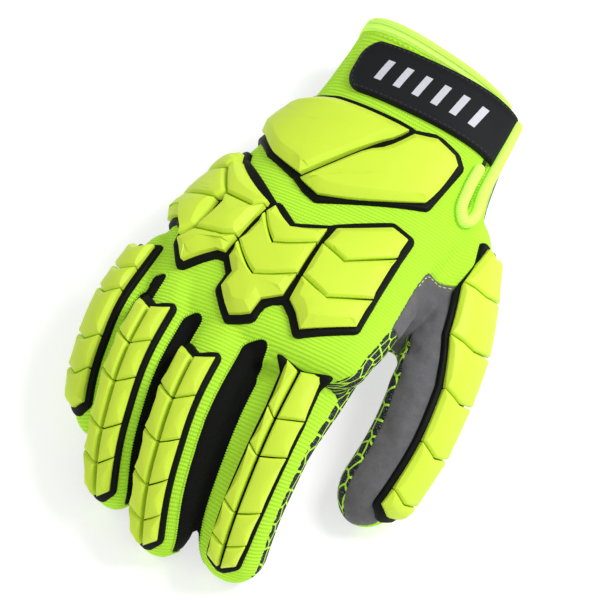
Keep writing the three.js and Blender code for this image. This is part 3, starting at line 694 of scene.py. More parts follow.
# Materials
class Shader:
    """A material whose nodes are added one after another."""

    def __init__(self, name):
        self.material = bpy.data.materials.new(name)
        self.material.use_nodes = True
        self.tree = self.material.node_tree
        self.tree.nodes.clear()
        self.out = self.add("ShaderNodeOutputMaterial")
        self.base = self.add("ShaderNodeBsdfPrincipled")
        self.link(self.base.outputs["BSDF"], self.out.inputs["Surface"])

    def add(self, kind, inputs=None, **settings):
        """Adds a node with its inputs set or linked."""
        node = self.tree.nodes.new(kind)
        for key, value in settings.items():
            setattr(node, key, value)
        for key, value in (inputs or {}).items():
            if isinstance(value, bpy.types.NodeSocket):
                self.link(value, node.inputs[key])
            else:
                node.inputs[key].default_value = value
        return node

    def link(self, a, b):
        """Links an output to an input."""
        self.tree.links.new(a, b)

    def math(self, operation, a, b=0.0, c=0.0, clamp=False):
        """Adds a sum of up to three values."""
        made = self.add("ShaderNodeMath", {0: a, 1: b, 2: c}, operation=operation, use_clamp=clamp)
        return made.outputs[0]

    def mix(self, factor, a, b):
        node = self.add("ShaderNodeMix", data_type="RGBA")
        for socket, value in ((node.inputs[0], factor), (node.inputs[6], a), (node.inputs[7], b)):
            if isinstance(value, bpy.types.NodeSocket):
                self.link(value, socket)
            else:
                socket.default_value = value
        return node.outputs[2]

    def noise(self, vector, scale, detail=2.0, roughness=0.5):
        node = self.add(
            "ShaderNodeTexNoise",
            {"Vector": vector, "Scale": scale, "Detail": detail, "Roughness": roughness},
        )
        return node.outputs["Fac"]

    def object_place(self):
        """Place in the object, in metres."""
        return self.add("ShaderNodeTexCoord").outputs["Object"]

    def cloth_place(self):
        """Place on the cloth in millimetres: across, along."""
        uv = self.add("ShaderNodeUVMap", uv_map="Cloth").outputs["UV"]
        parts = self.add("ShaderNodeSeparateXYZ", {0: uv})
        return uv, parts.outputs[0], parts.outputs[1]

    def wave(self, place, pitch, shift=0.0):
        """A wave from 0 to 1 along a place in millimetres."""
        turned = self.math("MULTIPLY_ADD", place, 2 * math.pi / pitch, shift)
        return self.math("MULTIPLY_ADD", self.math("SINE", turned), 0.5, 0.5)

    def bump(self, height, distance, strength=1.0):
        """Raises the surface by a height in millimetres."""
        node = self.add(
            "ShaderNodeBump", {"Height": height, "Distance": distance * MM, "Strength": strength}
        )
        self.link(node.outputs["Normal"], self.base.inputs["Normal"])

    def set(self, **values):
        """Sets the finish's own values."""
        for key, value in values.items():
            name = key.replace("_", " ").title().replace("Ior", "IOR")
            self.base.inputs[name].default_value = value


def linear(hex_colour):
    """A colour as shown, #rrggbb, in the scene's own numbers."""
    parts = [int(hex_colour[i : i + 2], 16) / 255 for i in (1, 3, 5)]
    return (*(p / 12.92 if p <= 0.04045 else ((p + 0.055) / 1.055) ** 2.4 for p in parts), 1.0)


def shade(colour, factor):
    """A colour made lighter or darker by a factor."""
    return (*(min(1.0, c * factor) for c in colour[:3]), 1.0)


def knit(name, colour, pitch, depth, painted_glow):
    """Rib knit: fine ribs across the cloth, crossed by its columns of loops, with painted shade in the
    grooves between the ribs and a painted glow.
    """
    made = Shader(name)
    _, across, along = made.cloth_place()
    sway = made.math("MULTIPLY", made.noise(made.object_place(), 40.0), 1.2)
    rib = made.wave(made.math("ADD", along, sway), pitch)
    column = made.wave(made.math("ADD", across, sway), pitch * 0.62)
    loops = made.math("MULTIPLY", made.math("POWER", rib, 0.7), made.math("MULTIPLY_ADD", column, 0.4, 0.6))
    fuzz = made.noise(made.object_place(), 2500.0, 3.0, 0.7)
    height = made.math("MULTIPLY_ADD", fuzz, 0.25, loops)
    patch = made.noise(made.object_place(), 30.0, 3.0)
    # Colour darkest where the loops sink: painted shade in the rib grooves, over random patches of tone.
    tone = made.math("MULTIPLY_ADD", patch, 0.3, made.math("MULTIPLY", loops, 0.75), clamp=True)
    made.link(made.mix(tone, shade(colour, 0.74), shade(colour, 1.1)), made.base.inputs["Base Color"])
    # Emission that carries the same painted rib shade: a painted glow over the lime.
    made.link(made.mix(tone, shade(colour, 0.74), colour), made.base.inputs["Emission Color"])
    made.set(roughness=0.85, emission_strength=painted_glow, specular_ior_level=0.2)
    made.bump(height, depth)
    return made.material


def rubber(name, colour, roughness, painted_glow=0.0, specular=0.3, grain=0.05):
    """Moulded rubber with a fine eggshell skin and a few rubbed places, and a painted glow in its own colour
    where one is given.
    """
    made = Shader(name)
    place = made.object_place()
    skin = made.noise(place, 1800.0, 2.0, 0.6)
    rubbed = made.noise(place, 45.0, 3.0, 0.55)
    tone = made.math("MULTIPLY_ADD", rubbed, 0.5, made.math("MULTIPLY", skin, 0.3), clamp=True)
    made.link(made.mix(tone, shade(colour, 0.86), shade(colour, 1.1)), made.base.inputs["Base Color"])
    # Emission in the rubber's own colour: a painted glow, though the rubber is no lamp.
    if painted_glow:
        made.base.inputs["Emission Color"].default_value = colour
        made.set(emission_strength=painted_glow)
    spread = made.math("MULTIPLY_ADD", rubbed, 0.18, roughness - 0.08)
    made.link(spread, made.base.inputs["Roughness"])
    made.set(specular_ior_level=specular)
    made.bump(skin, grain)
    return made.material


def leather(name, colour):
    """Heathered synthetic suede: a speckled nap with soft creases."""
    made = Shader(name)
    place = made.object_place()
    nap = made.noise(place, 1500.0, 3.0, 0.75)
    blotch = made.noise(place, 260.0, 3.0, 0.6)
    crease = made.noise(place, 60.0, 2.0, 0.5)
    tone = made.math("MULTIPLY_ADD", blotch, 0.5, made.math("MULTIPLY", nap, 0.5), clamp=True)
    made.link(made.mix(tone, shade(colour, 0.42), shade(colour, 1.7)), made.base.inputs["Base Color"])
    made.set(roughness=0.95, sheen_weight=0.15, sheen_roughness=0.5)
    height = made.math("MULTIPLY_ADD", crease, 6.0, made.math("MULTIPLY", nap, 0.5))
    made.bump(height, 0.3)
    return made.material


def grip_mesh(name, ground, line, speck, cell, width):
    """Black mesh with raised lime lines round its cells, the lines with a painted glow."""
    made = Shader(name)
    uv, across, along = made.cloth_place()
    scaled = made.add("ShaderNodeMapping", {"Vector": uv, "Scale": (1 / cell, 1 / cell, 1)})
    cells = made.add(
        "ShaderNodeTexVoronoi",
        {"Vector": scaled.outputs[0], "Scale": 1.0, "Randomness": 0.8},
        feature="DISTANCE_TO_EDGE",
        voronoi_dimensions="2D",
    )
    on_line = made.math("SUBTRACT", 1.0, made.math("DIVIDE", cells.outputs["Distance"], width / cell))
    on_line = made.math("MULTIPLY", on_line, 4.0, clamp=True)
    dots = made.math("MULTIPLY", made.wave(across, 1.1), made.wave(along, 1.1))
    dots = made.math("MULTIPLY", dots, made.math("GREATER_THAN", made.noise(uv, 0.6), 0.5))
    woven = made.mix(made.math("POWER", dots, 2.0), ground, speck)
    made.link(made.mix(on_line, woven, line), made.base.inputs["Base Color"])
    # Emission on the lime lines only: painted glow.
    made.link(made.mix(on_line, (0, 0, 0, 1), line), made.base.inputs["Emission Color"])
    made.set(roughness=0.8, emission_strength=0.12)
    made.bump(made.math("MULTIPLY_ADD", dots, 0.4, made.math("MULTIPLY", on_line, 1.2)), 0.5)
    return made.material


def webbing(name, colour):
    """Black strap with a fine twill across it, its colour lighter on the twill's ridges: painted shade in
    the grooves.
    """
    made = Shader(name)
    place = made.object_place()
    parts = made.add("ShaderNodeSeparateXYZ", {0: place})
    slant = made.math("ADD", parts.outputs[0], parts.outputs[1])
    twill = made.wave(slant, 0.9 * MM)
    nap = made.noise(place, 1400.0, 2.0, 0.6)
    # Tone rises with the twill's height: painted shade in its grooves, with random tone from the nap.
    tone = made.math("MULTIPLY_ADD", nap, 0.5, made.math("MULTIPLY", twill, 0.35), clamp=True)
    made.link(made.mix(tone, shade(colour, 0.7), shade(colour, 1.5)), made.base.inputs["Base Color"])
    made.set(roughness=0.7, specular_ior_level=0.25)
    made.bump(made.math("MULTIPLY_ADD", nap, 0.4, twill), 0.06)
    return made.material


def plain(name, colour, roughness, grain_scale=900.0, grain=0.05, painted_glow=0.0):
    """An even finish with a little grain, for thread and print, with a painted glow where one is given."""
    made = Shader(name)
    place = made.object_place()
    grain_noise = made.noise(place, grain_scale, 2.0, 0.6)
    made.link(made.mix(grain_noise, shade(colour, 0.85), shade(colour, 1.1)), made.base.inputs["Base Color"])
    # Emission in the finish's own colour: a painted glow.
    if painted_glow:
        made.base.inputs["Emission Color"].default_value = colour
    made.set(roughness=roughness, emission_strength=painted_glow)
    made.bump(grain_noise, grain)
    return made.material


class GloveColours(bpy.types.PropertyGroup):
    """Colours of the glove's finishes, as shown on a screen."""

    knit: bpy.props.StringProperty(name="Knit", description="Back of the hand", default="#b4ee38")
    hem: bpy.props.StringProperty(name="Hem", description="Cuff hem and slit binding", default="#c8ff66")
    pad: bpy.props.StringProperty(name="Pads", description="Lime rubber", default="#ceea3e")
    border: bpy.props.StringProperty(name="Border", description="Black rubber", default="#0a0d0b")
    leather: bpy.props.StringProperty(name="Leather", description="Palm", default="#5d5c5f")
    black: bpy.props.StringProperty(name="Side walls", description="Between fingers", default="#070807")
    strap: bpy.props.StringProperty(name="Strap", description="Strap", default="#101115")
    print: bpy.props.StringProperty(name="Print", description="Bars on the strap", default="#c9c9d2")
    thread: bpy.props.StringProperty(name="Thread", description="Cream thread", default="#d8d68c")


class GloveSizes(bpy.types.PropertyGroup):
    """Sizes of the details that Blender adds."""

    voxel: bpy.props.FloatProperty(
        name="Cloth resolution", description="Size of the shell's faces",
        default=1.3 * MM, subtype="DISTANCE",
    )
    rib: bpy.props.FloatProperty(
        name="Rib pitch", description="Distance between ribs of the knit",
        default=1.55 * MM, subtype="DISTANCE",
    )
    cell: bpy.props.FloatProperty(
        name="Grip cell", description="Size of the cells of the grip mesh",
        default=6.5 * MM, subtype="DISTANCE",
    )
    stitch: bpy.props.FloatProperty(
        name="Stitch pitch", description="Distance between stitches", default=2.6 * MM, subtype="DISTANCE"
    )
    edge: bpy.props.FloatProperty(
        name="Pad edge", description="Rounding of a pad's edges", default=0.45 * MM, subtype="DISTANCE"
    )


MATERIALS = {}
SKIN = {}


def make_materials():
    """Makes every finish of the glove from its colours and sizes."""
    colours = bpy.context.scene.glove_colours
    sizes = bpy.context.scene.glove_sizes
    lime, pad = linear(colours.knit), linear(colours.pad)
    rib = sizes.rib / MM
    # The last number given to each knit and to the lime rubber, and the lime thread's glow value, is a
    # painted glow that lifts the lime.
    MATERIALS["knit"] = knit("Lime Knit", lime, rib, 0.3, 0.16)
    MATERIALS["hem"] = knit("Pale Lime Knit", linear(colours.hem), rib * 0.6, 0.2, 0.4)
    MATERIALS["pad"] = rubber("Lime Rubber", pad, 0.5, 0.04)
    MATERIALS["border"] = rubber("Black Rubber", linear(colours.border), 0.55, specular=0.12)
    MATERIALS["leather"] = leather("Grey Leather", linear(colours.leather))
    MATERIALS["black"] = knit("Black Knit", linear(colours.black), rib * 0.5, 0.2, 0.0)
    MATERIALS["strap"] = webbing("Black Strap", linear(colours.strap))
    MATERIALS["print"] = plain("Pale Print", linear(colours.print), 0.6)
    MATERIALS["thread"] = plain("Cream Thread", linear(colours.thread), 0.8)
    MATERIALS["lime thread"] = plain("Lime Thread", shade(lime, 0.85), 0.8, painted_glow=0.1)
    MATERIALS["black thread"] = plain("Black Thread", linear("#2a2b2e"), 0.7)
    speck = linear("#8d93a0")
    MATERIALS["grip"] = grip_mesh("Grip Mesh", linear("#14151a"), lime, speck, sizes.cell / MM, 0.6)


def tube_rings(tube, shares, sides):
    """Rings of points round a tube, with its sides puffed out."""
    turns = (np.arange(sides) + 0.5) * 360 / sides
    return surface(tube, np.asarray(shares)[:, None], turns[None], puffed=True)


def tip_shares(tube, count):
    """Shares along a digit, closer together where the tip is round."""
    round_from = 1 - tube.deep * TIP_REACH / tube.length
    straight = np.linspace(0, round_from, count, endpoint=False)
    tip = round_from + (1 - round_from) * np.sin(np.linspace(0, math.pi / 2, 14))
    return np.concatenate([straight, tip])


def make_skin():
    """The glove's outer surface: all the tubes as one skin, with where each point lies on them."""
    set_puffs()
    parts = [loft(tube_rings(BODY, np.linspace(0, 1, 80), 140))]
    for tube in DIGIT.values():
        parts.append(loft(tube_rings(tube, tip_shares(tube, 50), 64)))
    points, faces, start = [], [], 0
    for some, triangles in parts:
        points.append(some)
        faces.append(facing_out(some, triangles) + start)
        start += len(some)
    raw = new_object("skin", np.concatenate(points), np.concatenate(faces))
    remesh = raw.modifiers.new("one_skin", "REMESH")
    remesh.mode = "VOXEL"
    remesh.voxel_size = bpy.context.scene.glove_sizes.voxel
    apply_modifiers(raw)
    points, faces = mesh_arrays(raw.data)
    bpy.data.objects.remove(raw)
    faces = facing_out(points, faces)
    edges = edges_of(faces)
    points = relaxed(points, edges, 10)
    points = filled(points, faces, edges, np.array(CROTCH), CROTCH_REACH, FILL_ROUNDS)
    points += vertex_normals(points, faces) * folds(points)[:, None]
    points = resting(points)

    tubes = [BODY, *DIGIT.values()]
    depth = []
    for tube in tubes:
        place = tube.locate(points)
        place["turn"] = turn_of(tube, place)
        SKIN[tube.name] = place
        n = tube.square
        half, thick = place["half"].clip(1), place["thick"].clip(1)
        inside = (np.abs(place["across"] / half) ** n + np.abs(place["rise"] / thick) ** n) ** (1 / n)
        depth.append((inside - 1) * np.minimum(half, thick) + place["past"])
    SKIN["owner"] = np.argmin(np.array(depth), axis=0)
    SKIN["tubes"] = [tube.name for tube in tubes]
    SKIN["points"], SKIN["faces"], SKIN["edges"] = points, faces, edges
    SKIN["normals"] = vertex_normals(points, faces)
    SKIN["uv"] = cloth_places(tubes)


def owned(name):
    """Which vertices of the skin lie nearest to one tube."""
    return SKIN["owner"] == SKIN["tubes"].index(name)


def cloth_places(tubes):
    """Place on the cloth in millimetres, across and along, for each point of the skin."""
    by_tube = {}
    for tube in tubes:
        place = SKIN[tube.name]
        across = np.radians(place["turn"]) * tube.reach
        by_tube[tube.name] = np.stack([across, place["share"] * tube.length], 1)
    uv = by_tube["body"].copy()
    a, b = SKIN["edges"].T
    on_body = owned("body")
    for name in DIGIT:
        mine = owned(name)
        meeting = a[mine[a] & on_body[b]]
        shift = np.median(by_tube["body"][meeting] - by_tube[name][meeting], axis=0)
        uv[mine] = by_tube[name][mine] + shift
    return relaxed(uv, SKIN["edges"], 12, grow=0)


def evened(field, rounds):
    """A field over the skin with its steps between tubes smoothed out."""
    return relaxed(np.clip(field, -6, 6)[:, None], SKIN["edges"], rounds, grow=0)[:, 0]


def patch_field(patches):
    """Distance into the nearest of some patches: tube, first and last share, first and last turn."""
    field = np.full(len(SKIN["owner"]), -9.0)
    for name, start, end, low, high in patches:
        tube = BODY if name == "body" else DIGIT[name]
        share, turn = SKIN[name]["share"], SKIN[name]["turn"]
        arc = math.radians(1) * (WRIST_DEPTH / 2 if tube is BODY else tube.reach)
        edges = (
            (turn - low) * arc,
            (high - turn) * arc,
            (share - start) * tube.length,
            (end - share) * tube.length,
        )
        mine = owned(name)
        field[mine] = np.maximum(field[mine], np.minimum.reduce(edges)[mine])
    return field


GUSSET_TOP = 0.27
GUSSET_CORNER = 0.565
GUSSET_TURN = 69
GUSSET_SPREAD = 52


def seam_field():
    """Distance to the seam between back and palm, positive on the back."""
    field = np.zeros(len(SKIN["owner"]))
    for name in SKIN["tubes"]:
        place = SKIN[name]
        value = place["rise"].copy()
        if name == "body":
            away = (GUSSET_CORNER - place["share"]) * BODY_LENGTH
            edge = GUSSET_TURN + GUSSET_SPREAD * (place["share"] - GUSSET_CORNER)
            value = np.minimum(value, np.maximum((edge - place["turn"]) * 0.9, away))
        if name in ("index", "middle", "ring", "little"):
            value = place["rise"] + 0.25 * place["thick"]
        if name == "web":
            value = np.full(len(value), -4.0)
        if name == "thumb":
            turn = place["turn"]
            arc = math.radians(1) * DIGIT["thumb"].half
            above_gusset = np.minimum(
                (GUSSET_TOP - place["share"]) * DIGIT["thumb"].length, (turn + 100) * arc
            )
            edge = 28 - 45 * smoothstep(place["share"], 0.9, 0.97)
            value = np.minimum((95 - turn) * arc, np.maximum((turn + edge) * arc, above_gusset))
        mine = owned(name)
        field[mine] = value[mine]
    return evened(field, 4)


VALLEY_TOP = {"index": (-5, -106), "middle": (-33, -104), "ring": (-55, -91)}
WALL_PATCHES = (
    ("index", 0.03, 0.96, -112, -66),
    ("middle", 0.03, 0.96, 63, 112),
    ("middle", 0.03, 0.96, -112, -66),
    ("ring", 0.03, 0.96, 63, 112),
    ("ring", 0.03, 0.96, -112, -66),
    ("little", 0.03, 0.96, 63, 112),
)


def valley_field():
    """Distance into the black side walls between the fingers, positive in them."""
    field = patch_field(WALL_PATCHES)
    x, y = SKIN["points"][:, 0], SKIN["points"][:, 1]
    for thumb_side, little_side in NEIGHBOURS:
        shares = np.linspace(0.18, 0.4, 8)
        near = surface(DIGIT[thumb_side], shares, -88, puffed=True)
        far = surface(DIGIT[little_side], shares, 88, puffed=True)
        line = (near + far)[:, :2] / 2
        line = np.concatenate([[VALLEY_TOP[thumb_side]], line])
        distance = 3.0 - distance_to_outline(x, y, line, closed=False)
        field = np.maximum(field, distance)
    depth = np.full(len(field), -9.0)
    for name in SKIN["tubes"]:
        mine = owned(name)
        place = SKIN[name]
        depth[mine] = (place["rise"] + 0.62 * place["thick"])[mine]
    return evened(np.minimum(field, depth), 2)


GRIP_PATCHES = (
    ("body", 0.77, 1.1, 80, 140),
    ("index", 0.0, 0.95, 75, 150),
    ("thumb", 0.42, 1.0, -150, -98),
    ("web", 0.3, 1.1, -150, -84),
)


def grip_field():
    """Distance into the bands of grip mesh, positive in them."""
    return evened(patch_field(GRIP_PATCHES), 3)


def slit_field():
    """Distance outside the slit of the cuff, positive where the cloth is."""
    share, turn = SKIN["body"]["share"], SKIN["body"]["turn"]
    arc = math.radians(1) * PALM_WIDTH * 0.38
    outline = [(a * BODY_LENGTH, t * arc) for a, t in SLIT_OUTLINE]
    outside = -distance_to_outline(share * BODY_LENGTH, turn * arc, rounded(outline, 3))
    return np.where(owned("body"), np.clip(outside, -6, 6), 6.0)


COLUMN = {"x": 0, "normal": 3, "uv": 6, "seam": 8, "valley": 9, "grip": 10, "slit": 11, "along": 12}


def column(name):
    """Field that reads one column of the skin data."""
    return lambda data: data[:, COLUMN[name]]


def skin_data():
    """All that is known at each point of the skin, a column each."""
    return np.column_stack(
        [
            SKIN["points"],
            SKIN["normals"],
            SKIN["uv"],
            seam_field(),
            valley_field(),
            grip_field(),
            slit_field(),
            SKIN["body"]["share"] * BODY_LENGTH,
        ]
    )


SEAM_DIP = 0.5


def cloth_piece(name, data, faces, keep, material, slot, *nodes):
    """One panel of the shell, sunk a little along its seams, with the cloth's thickness."""
    data, faces = used_only(data, faces[keep])
    rim = np.unique(rim_of(faces))
    normals = data[:, 3:6] / np.linalg.norm(data[:, 3:6], axis=1)[:, None]
    dip = np.zeros(len(data))
    dip[rim] = SEAM_DIP
    outer = data[:, :3] - normals * dip[:, None]
    inner = data[:, :3] - normals * FABRIC
    points, triangles = closed_wall(outer, inner, faces)
    uv = np.concatenate([data[:, 6:8], data[:, 6:8]])
    piece = new_object(name, points, triangles, 60, uv)
    return finish_piece(piece, MATERIALS[material], slot, *nodes)


class GLOVE_OT_shell(bpy.types.Operator):
    """Knit back, leather palm, black side walls and bands of grip mesh."""

    bl_idname = "glove.shell"
    bl_label = "Shell"

    def execute(self, context):
        make_skin()
        data, faces = skin_data(), SKIN["faces"]
        data, faces = split_along(data, faces, column("along"), HEM_SHARE * BODY_LENGTH)
        faces = faces[column("along")(data)[faces].mean(1) > HEM_SHARE * BODY_LENGTH]
        data, faces = split_along(data, faces, column("slit"))
        faces = faces[column("slit")(data)[faces].mean(1) > 0]
        for name in ("seam", "valley", "grip"):
            data, faces = split_along(data, faces, column(name))
        seam, valley, grip = (column(name)(data)[faces].mean(1) for name in ("seam", "valley", "grip"))
        black = valley > 0
        mesh = (grip > 0) & ~black
        back = (seam > 0) & ~black & ~mesh
        palm = ~back & ~black & ~mesh
        cloth_piece("knit_back", data, faces, back, "knit", "knit", "back_panel")
        cloth_piece("leather_palm", data, faces, palm, "leather", "leather", "palm_panel")
        cloth_piece("finger_side_walls", data, faces, black, "black", "strap")
        cloth_piece("grip_bands", data, faces, mesh, "grip", "leather")
        return {"FINISHED"}


SHEET_LEVELS = (0.0, 0.3, 0.8, 1.5)
SHEET_ROUND = 1.3


def sheet_piece(name, distance, mask, node):
    """A black rubber sheet over part of the skin, with a rolled edge."""
    data = np.column_stack([SKIN["points"], SKIN["normals"], SKIN["uv"], distance])
    faces = SKIN["faces"][mask[SKIN["faces"]].all(1)]
    for level in SHEET_LEVELS:
        data, faces = split_along(data, faces, lambda d: d[:, 8], level)
    faces = faces[data[faces, 8].mean(1) > 0]
    data, faces = used_only(data, faces)
    edge = np.clip(data[:, 8] / SHEET_ROUND, 0, 1)
    height = SHEET * np.sqrt(1 - (1 - edge) ** 2)
    normals = data[:, 3:6] / np.linalg.norm(data[:, 3:6], axis=1)[:, None]
    outer = data[:, :3] + normals * (height + 0.1)[:, None]
    inner = data[:, :3] - normals * 0.4
    points, triangles = closed_wall(outer, inner, faces)
    return finish_piece(new_object(name, points, triangles, 70), MATERIALS["border"], "border", node)


def back_outline(outline):
    """An outline on the back of the hand, in plan."""
    points = []
    for along, turn, *lift in outline:
        points.append(surface(BODY, along, turn, lift[0] if lift else SHEET)[:2])
    return rounded(points, 3.0)


class GLOVE_OT_borders(bpy.types.Operator):
    """Black rubber under and round the pads."""

    bl_idname = "glove.borders"
    bl_label = "Black Rubber"

    def execute(self, context):
        points = SKIN["points"]
        body = SKIN["body"]
        upper = (body["rise"] > 0.02 * body["thick"]) & (body["share"] < 1.02)
        for name, outline, node in (
            ("wrist_border", WRIST_OUTLINE, "wrist_sheet"),
            ("knuckle_border", KNUCKLE_OUTLINE, "knuckle_sheet"),
        ):
            distance = distance_to_outline(points[:, 0], points[:, 1], back_outline(outline))
            near_pads = np.full(len(points), -99.0)
            for pad, spots in BACK_PADS.items():
                if pad.startswith(name.split("_")[0]):
                    plan = [surface(BODY, *spot, SHEET)[:2] for spot in spots]
                    near = distance_to_outline(points[:, 0], points[:, 1], plan)
                    near_pads = np.maximum(near_pads, near)
            sheet_piece(name, np.minimum(distance + 0.8, near_pads + BORDER_SHOWN), upper, node)
        for name, (_, vee, _, rows) in GUARDS.items():
            share, turn = SKIN[name]["share"], SKIN[name]["turn"]
            tube = DIGIT[name]
            arc = math.radians(1) * tube.half
            left = [(a * tube.length, low * arc) for a, low, high in rows]
            right = [(a * tube.length, high * arc) for a, low, high in rows]
            start = ((rows[0][0] + vee) * tube.length, (rows[0][1] + rows[0][2]) / 2 * arc)
            outline = rounded([start, *right, *left[::-1]], 2.0)
            along, across = share * tube.length, turn * arc
            distance = distance_to_outline(along, across, outline) + 0.3
            near_pads = np.full(len(points), -99.0)
            for spots in sum(digit_pads(name), []):
                plan = [(a * tube.length, t * arc) for a, t in spots]
                near_pads = np.maximum(near_pads, distance_to_outline(along, across, plan))
            distance = np.minimum(distance, near_pads + BORDER_SHOWN)
            near = (np.abs(turn) < 100) & (SKIN[name]["past"] < 6)
            sheet_piece(f"{name}_border", distance, near, f"{name}_sheet")
        return {"FINISHED"}


def inward(points, normals):
    """For each corner of a loop, the way in that moves its two edges in by one."""
    after = np.roll(points, -1, 0) - points
    after /= np.maximum(np.linalg.norm(after, axis=1), 1e-9)[:, None]
    before = np.roll(after, 1, 0)
    turning = (normals * np.cross(before, after)).sum()
    n1, n2 = np.cross(normals, before), np.cross(normals, after)
    mitre = (n1 + n2) / np.maximum(0.45, 1 + (n1 * n2).sum(1))[:, None]
    return mitre * np.sign(turning)


def pad_loop(tube, spots, step):
    """An outline in surface coordinates with points added along its long edges."""
    made = []
    for i, spot in enumerate(spots):
        after = spots[(i + 1) % len(spots)]
        length = np.linalg.norm(surface(tube, *after) - surface(tube, *spot))
        parts = max(1, int(round(length / step)))
        for part in range(parts):
            made.append([a + (b - a) * part / parts for a, b in zip(spot, after)])
    return np.array(made, float)


def pad_solid(tube, spots, others, top, shape, outer_facet=0.0):
    """A closed pad: walls, a facet on each side, and a top that follows the hand.

    The facets are steep between neighbouring pads and broad on the free sides.
    """
    loop = pad_loop(tube, spots, PAD_STEP)
    along, turn = loop.T
    place = lambda h: surface(tube, along, turn, h)
    normals = place(1.0) - place(0.0)
    normals /= np.linalg.norm(normals, axis=1)[:, None]
    by_share = (surface(tube, along + 0.01, turn, top) - place(top)) / 0.01
    by_turn = surface(tube, along, turn + 1.0, top) - place(top)
    ahead = by_share / np.linalg.norm(by_share, axis=1)[:, None]
    way_in = inward(place(top), normals)
    towards_tip = np.clip(-(way_in * ahead).sum(1), 0, 1)
    outwards = np.clip((way_in * np.cross(normals, ahead)).sum(1), 0, 1)
    near = np.linalg.norm(place(top)[:, None] - others[None], axis=2).min(1) if len(others) else 99.0
    free = smoothstep(near, 1.8, 3.4)
    slope = shape["steep"] + free * (shape["broad"] - shape["steep"] + shape["tip"] * towards_tip**3)
    slope = slope + outer_facet * outwards**2 * free
    drop = shape["steep"] + free * (shape["drop"] - shape["steep"]) + 0.3 * outer_facet * outwards**2
    step = way_in * slope[:, None]
    grid = np.stack([by_share, by_turn], axis=2)
    moved = np.einsum("nij,nj->ni", np.linalg.pinv(grid), step)
    rim = loop + moved
    centre = rim.mean(0)
    rings = [place(PAD_FOOT), place(top - drop)]
    for part in TOP_RINGS:
        ring = centre + (rim - centre) * part
        rings.append(surface(tube, ring[:, 0], ring[:, 1], top + shape["crown"] * (1 - part**2)))
    count = len(loop)
    middle = surface(tube, centre[0], centre[1], top + shape["crown"])
    bottom = surface(tube, centre[0], centre[1], PAD_FOOT)
    points = np.concatenate([*rings, [middle], [bottom]])
    last = (len(rings) - 1) * count
    faces = np.concatenate(
        [
            grid_faces(len(rings), count, around=True),
            fan(last, count, last + count, False),
            fan(0, count, last + count + 1, True),
        ]
    )
    return points, faces


def loops_beside(tube, outlines, skip, top):
    """Points along the sides of every outline but one."""
    others = [spots for i, spots in enumerate(outlines) if i != skip]
    found = [surface(tube, *pad_loop(tube, spots, BESIDE_STEP).T, top) for spots in others]
    return np.concatenate(found) if found else np.zeros((0, 3))


def pad_piece(name, solids, node):
    """Joins closed solids into one piece of guard."""
    points, faces, start = [], [], 0
    for some, triangles in solids:
        points.append(some)
        faces.append(facing_out(some, triangles) + start)
        start += len(some)
    piece = new_object(name, np.concatenate(points), np.concatenate(faces), 30)
    bevel = piece.modifiers.new("soft_edges", "BEVEL")
    bevel.width = bpy.context.scene.glove_sizes.edge
    bevel.segments = 3
    bevel.limit_method = "ANGLE"
    bevel.angle_limit = math.radians(22)
    apply_modifiers(piece)
    piece.data.shade_smooth()
    piece.data.set_sharp_from_angle(angle=math.radians(35))
    return finish_piece(piece, MATERIALS["pad"], "guard", node)


class GLOVE_OT_back_pads(bpy.types.Operator):
    """Lime rubber pads on the back of the hand."""

    bl_idname = "glove.back_pads"
    bl_label = "Back Pads"

    def execute(self, context):
        for name, spots in BACK_PADS.items():
            outer_facet = WRIST_OUTER_FACET if name == "wrist_pad_outer" else 0.0
            skip = list(BACK_PADS).index(name)
            others = loops_beside(BODY, BACK_PADS.values(), skip, PAD_TOP)
            solid = pad_solid(BODY, spots, others, PAD_TOP, HAND_FACETS, outer_facet)
            pad_piece(f"{name}_moulded", [solid], name)
        return {"FINISHED"}


def edges_at(rows, along):
    """Turns of a guard's two edges at a share of its digit."""
    table = np.array(rows, float)
    return np.interp(along, table[:, 0], table[:, 1]), np.interp(along, table[:, 0], table[:, 2])


def digit_pads(name):
    """The outlines of each pad on a digit, one or two to a pad."""
    halves, vee, breaks, rows = GUARDS[name]
    tube = DIGIT[name]
    border = math.degrees(BORDER / tube.half)
    gap = math.degrees(COLUMN_GAP / 2 / tube.half)
    pads = []
    for i, end in enumerate(breaks[1:]):
        start = breaks[i] + ROW_GAP / tube.length

        def corner(along, side):
            return (along - vee, edges_at(rows, along)[side > 0] - side * border)

        def middle(along, side):
            return (along, side * gap if halves == 2 else sum(edges_at(rows, along)) / 2)

        if halves == 2:
            pads.append(
                [
                    (corner(start, side), middle(start, side), middle(end, side), corner(end, side))
                    for side in (-1, 1)
                ]
            )
        else:
            whole = (
                corner(start, -1), middle(start, 0), corner(start, 1),
                corner(end, 1), middle(end, 0), corner(end, -1),
            )
            pads.append([whole])
    return pads


class GLOVE_OT_digit_pads(bpy.types.Operator):
    """Lime rubber pads on the fingers and the thumb."""

    bl_idname = "glove.digit_pads"
    bl_label = "Finger Pads"

    def execute(self, context):
        for name in GUARDS:
            pads = digit_pads(name)
            flat = sum(pads, [])
            for i, outlines in enumerate(pads):
                solids = []
                for spots in outlines:
                    others = loops_beside(DIGIT[name], flat, flat.index(spots), FINGER_PAD_TOP)
                    solids.append(
                        pad_solid(DIGIT[name], spots, others, FINGER_PAD_TOP, FINGER_FACETS)
                    )
                pad_piece(f"{name}_pad_{i + 1}_moulded", solids, f"{name}_pad_{i + 1}")
        return {"FINISHED"}


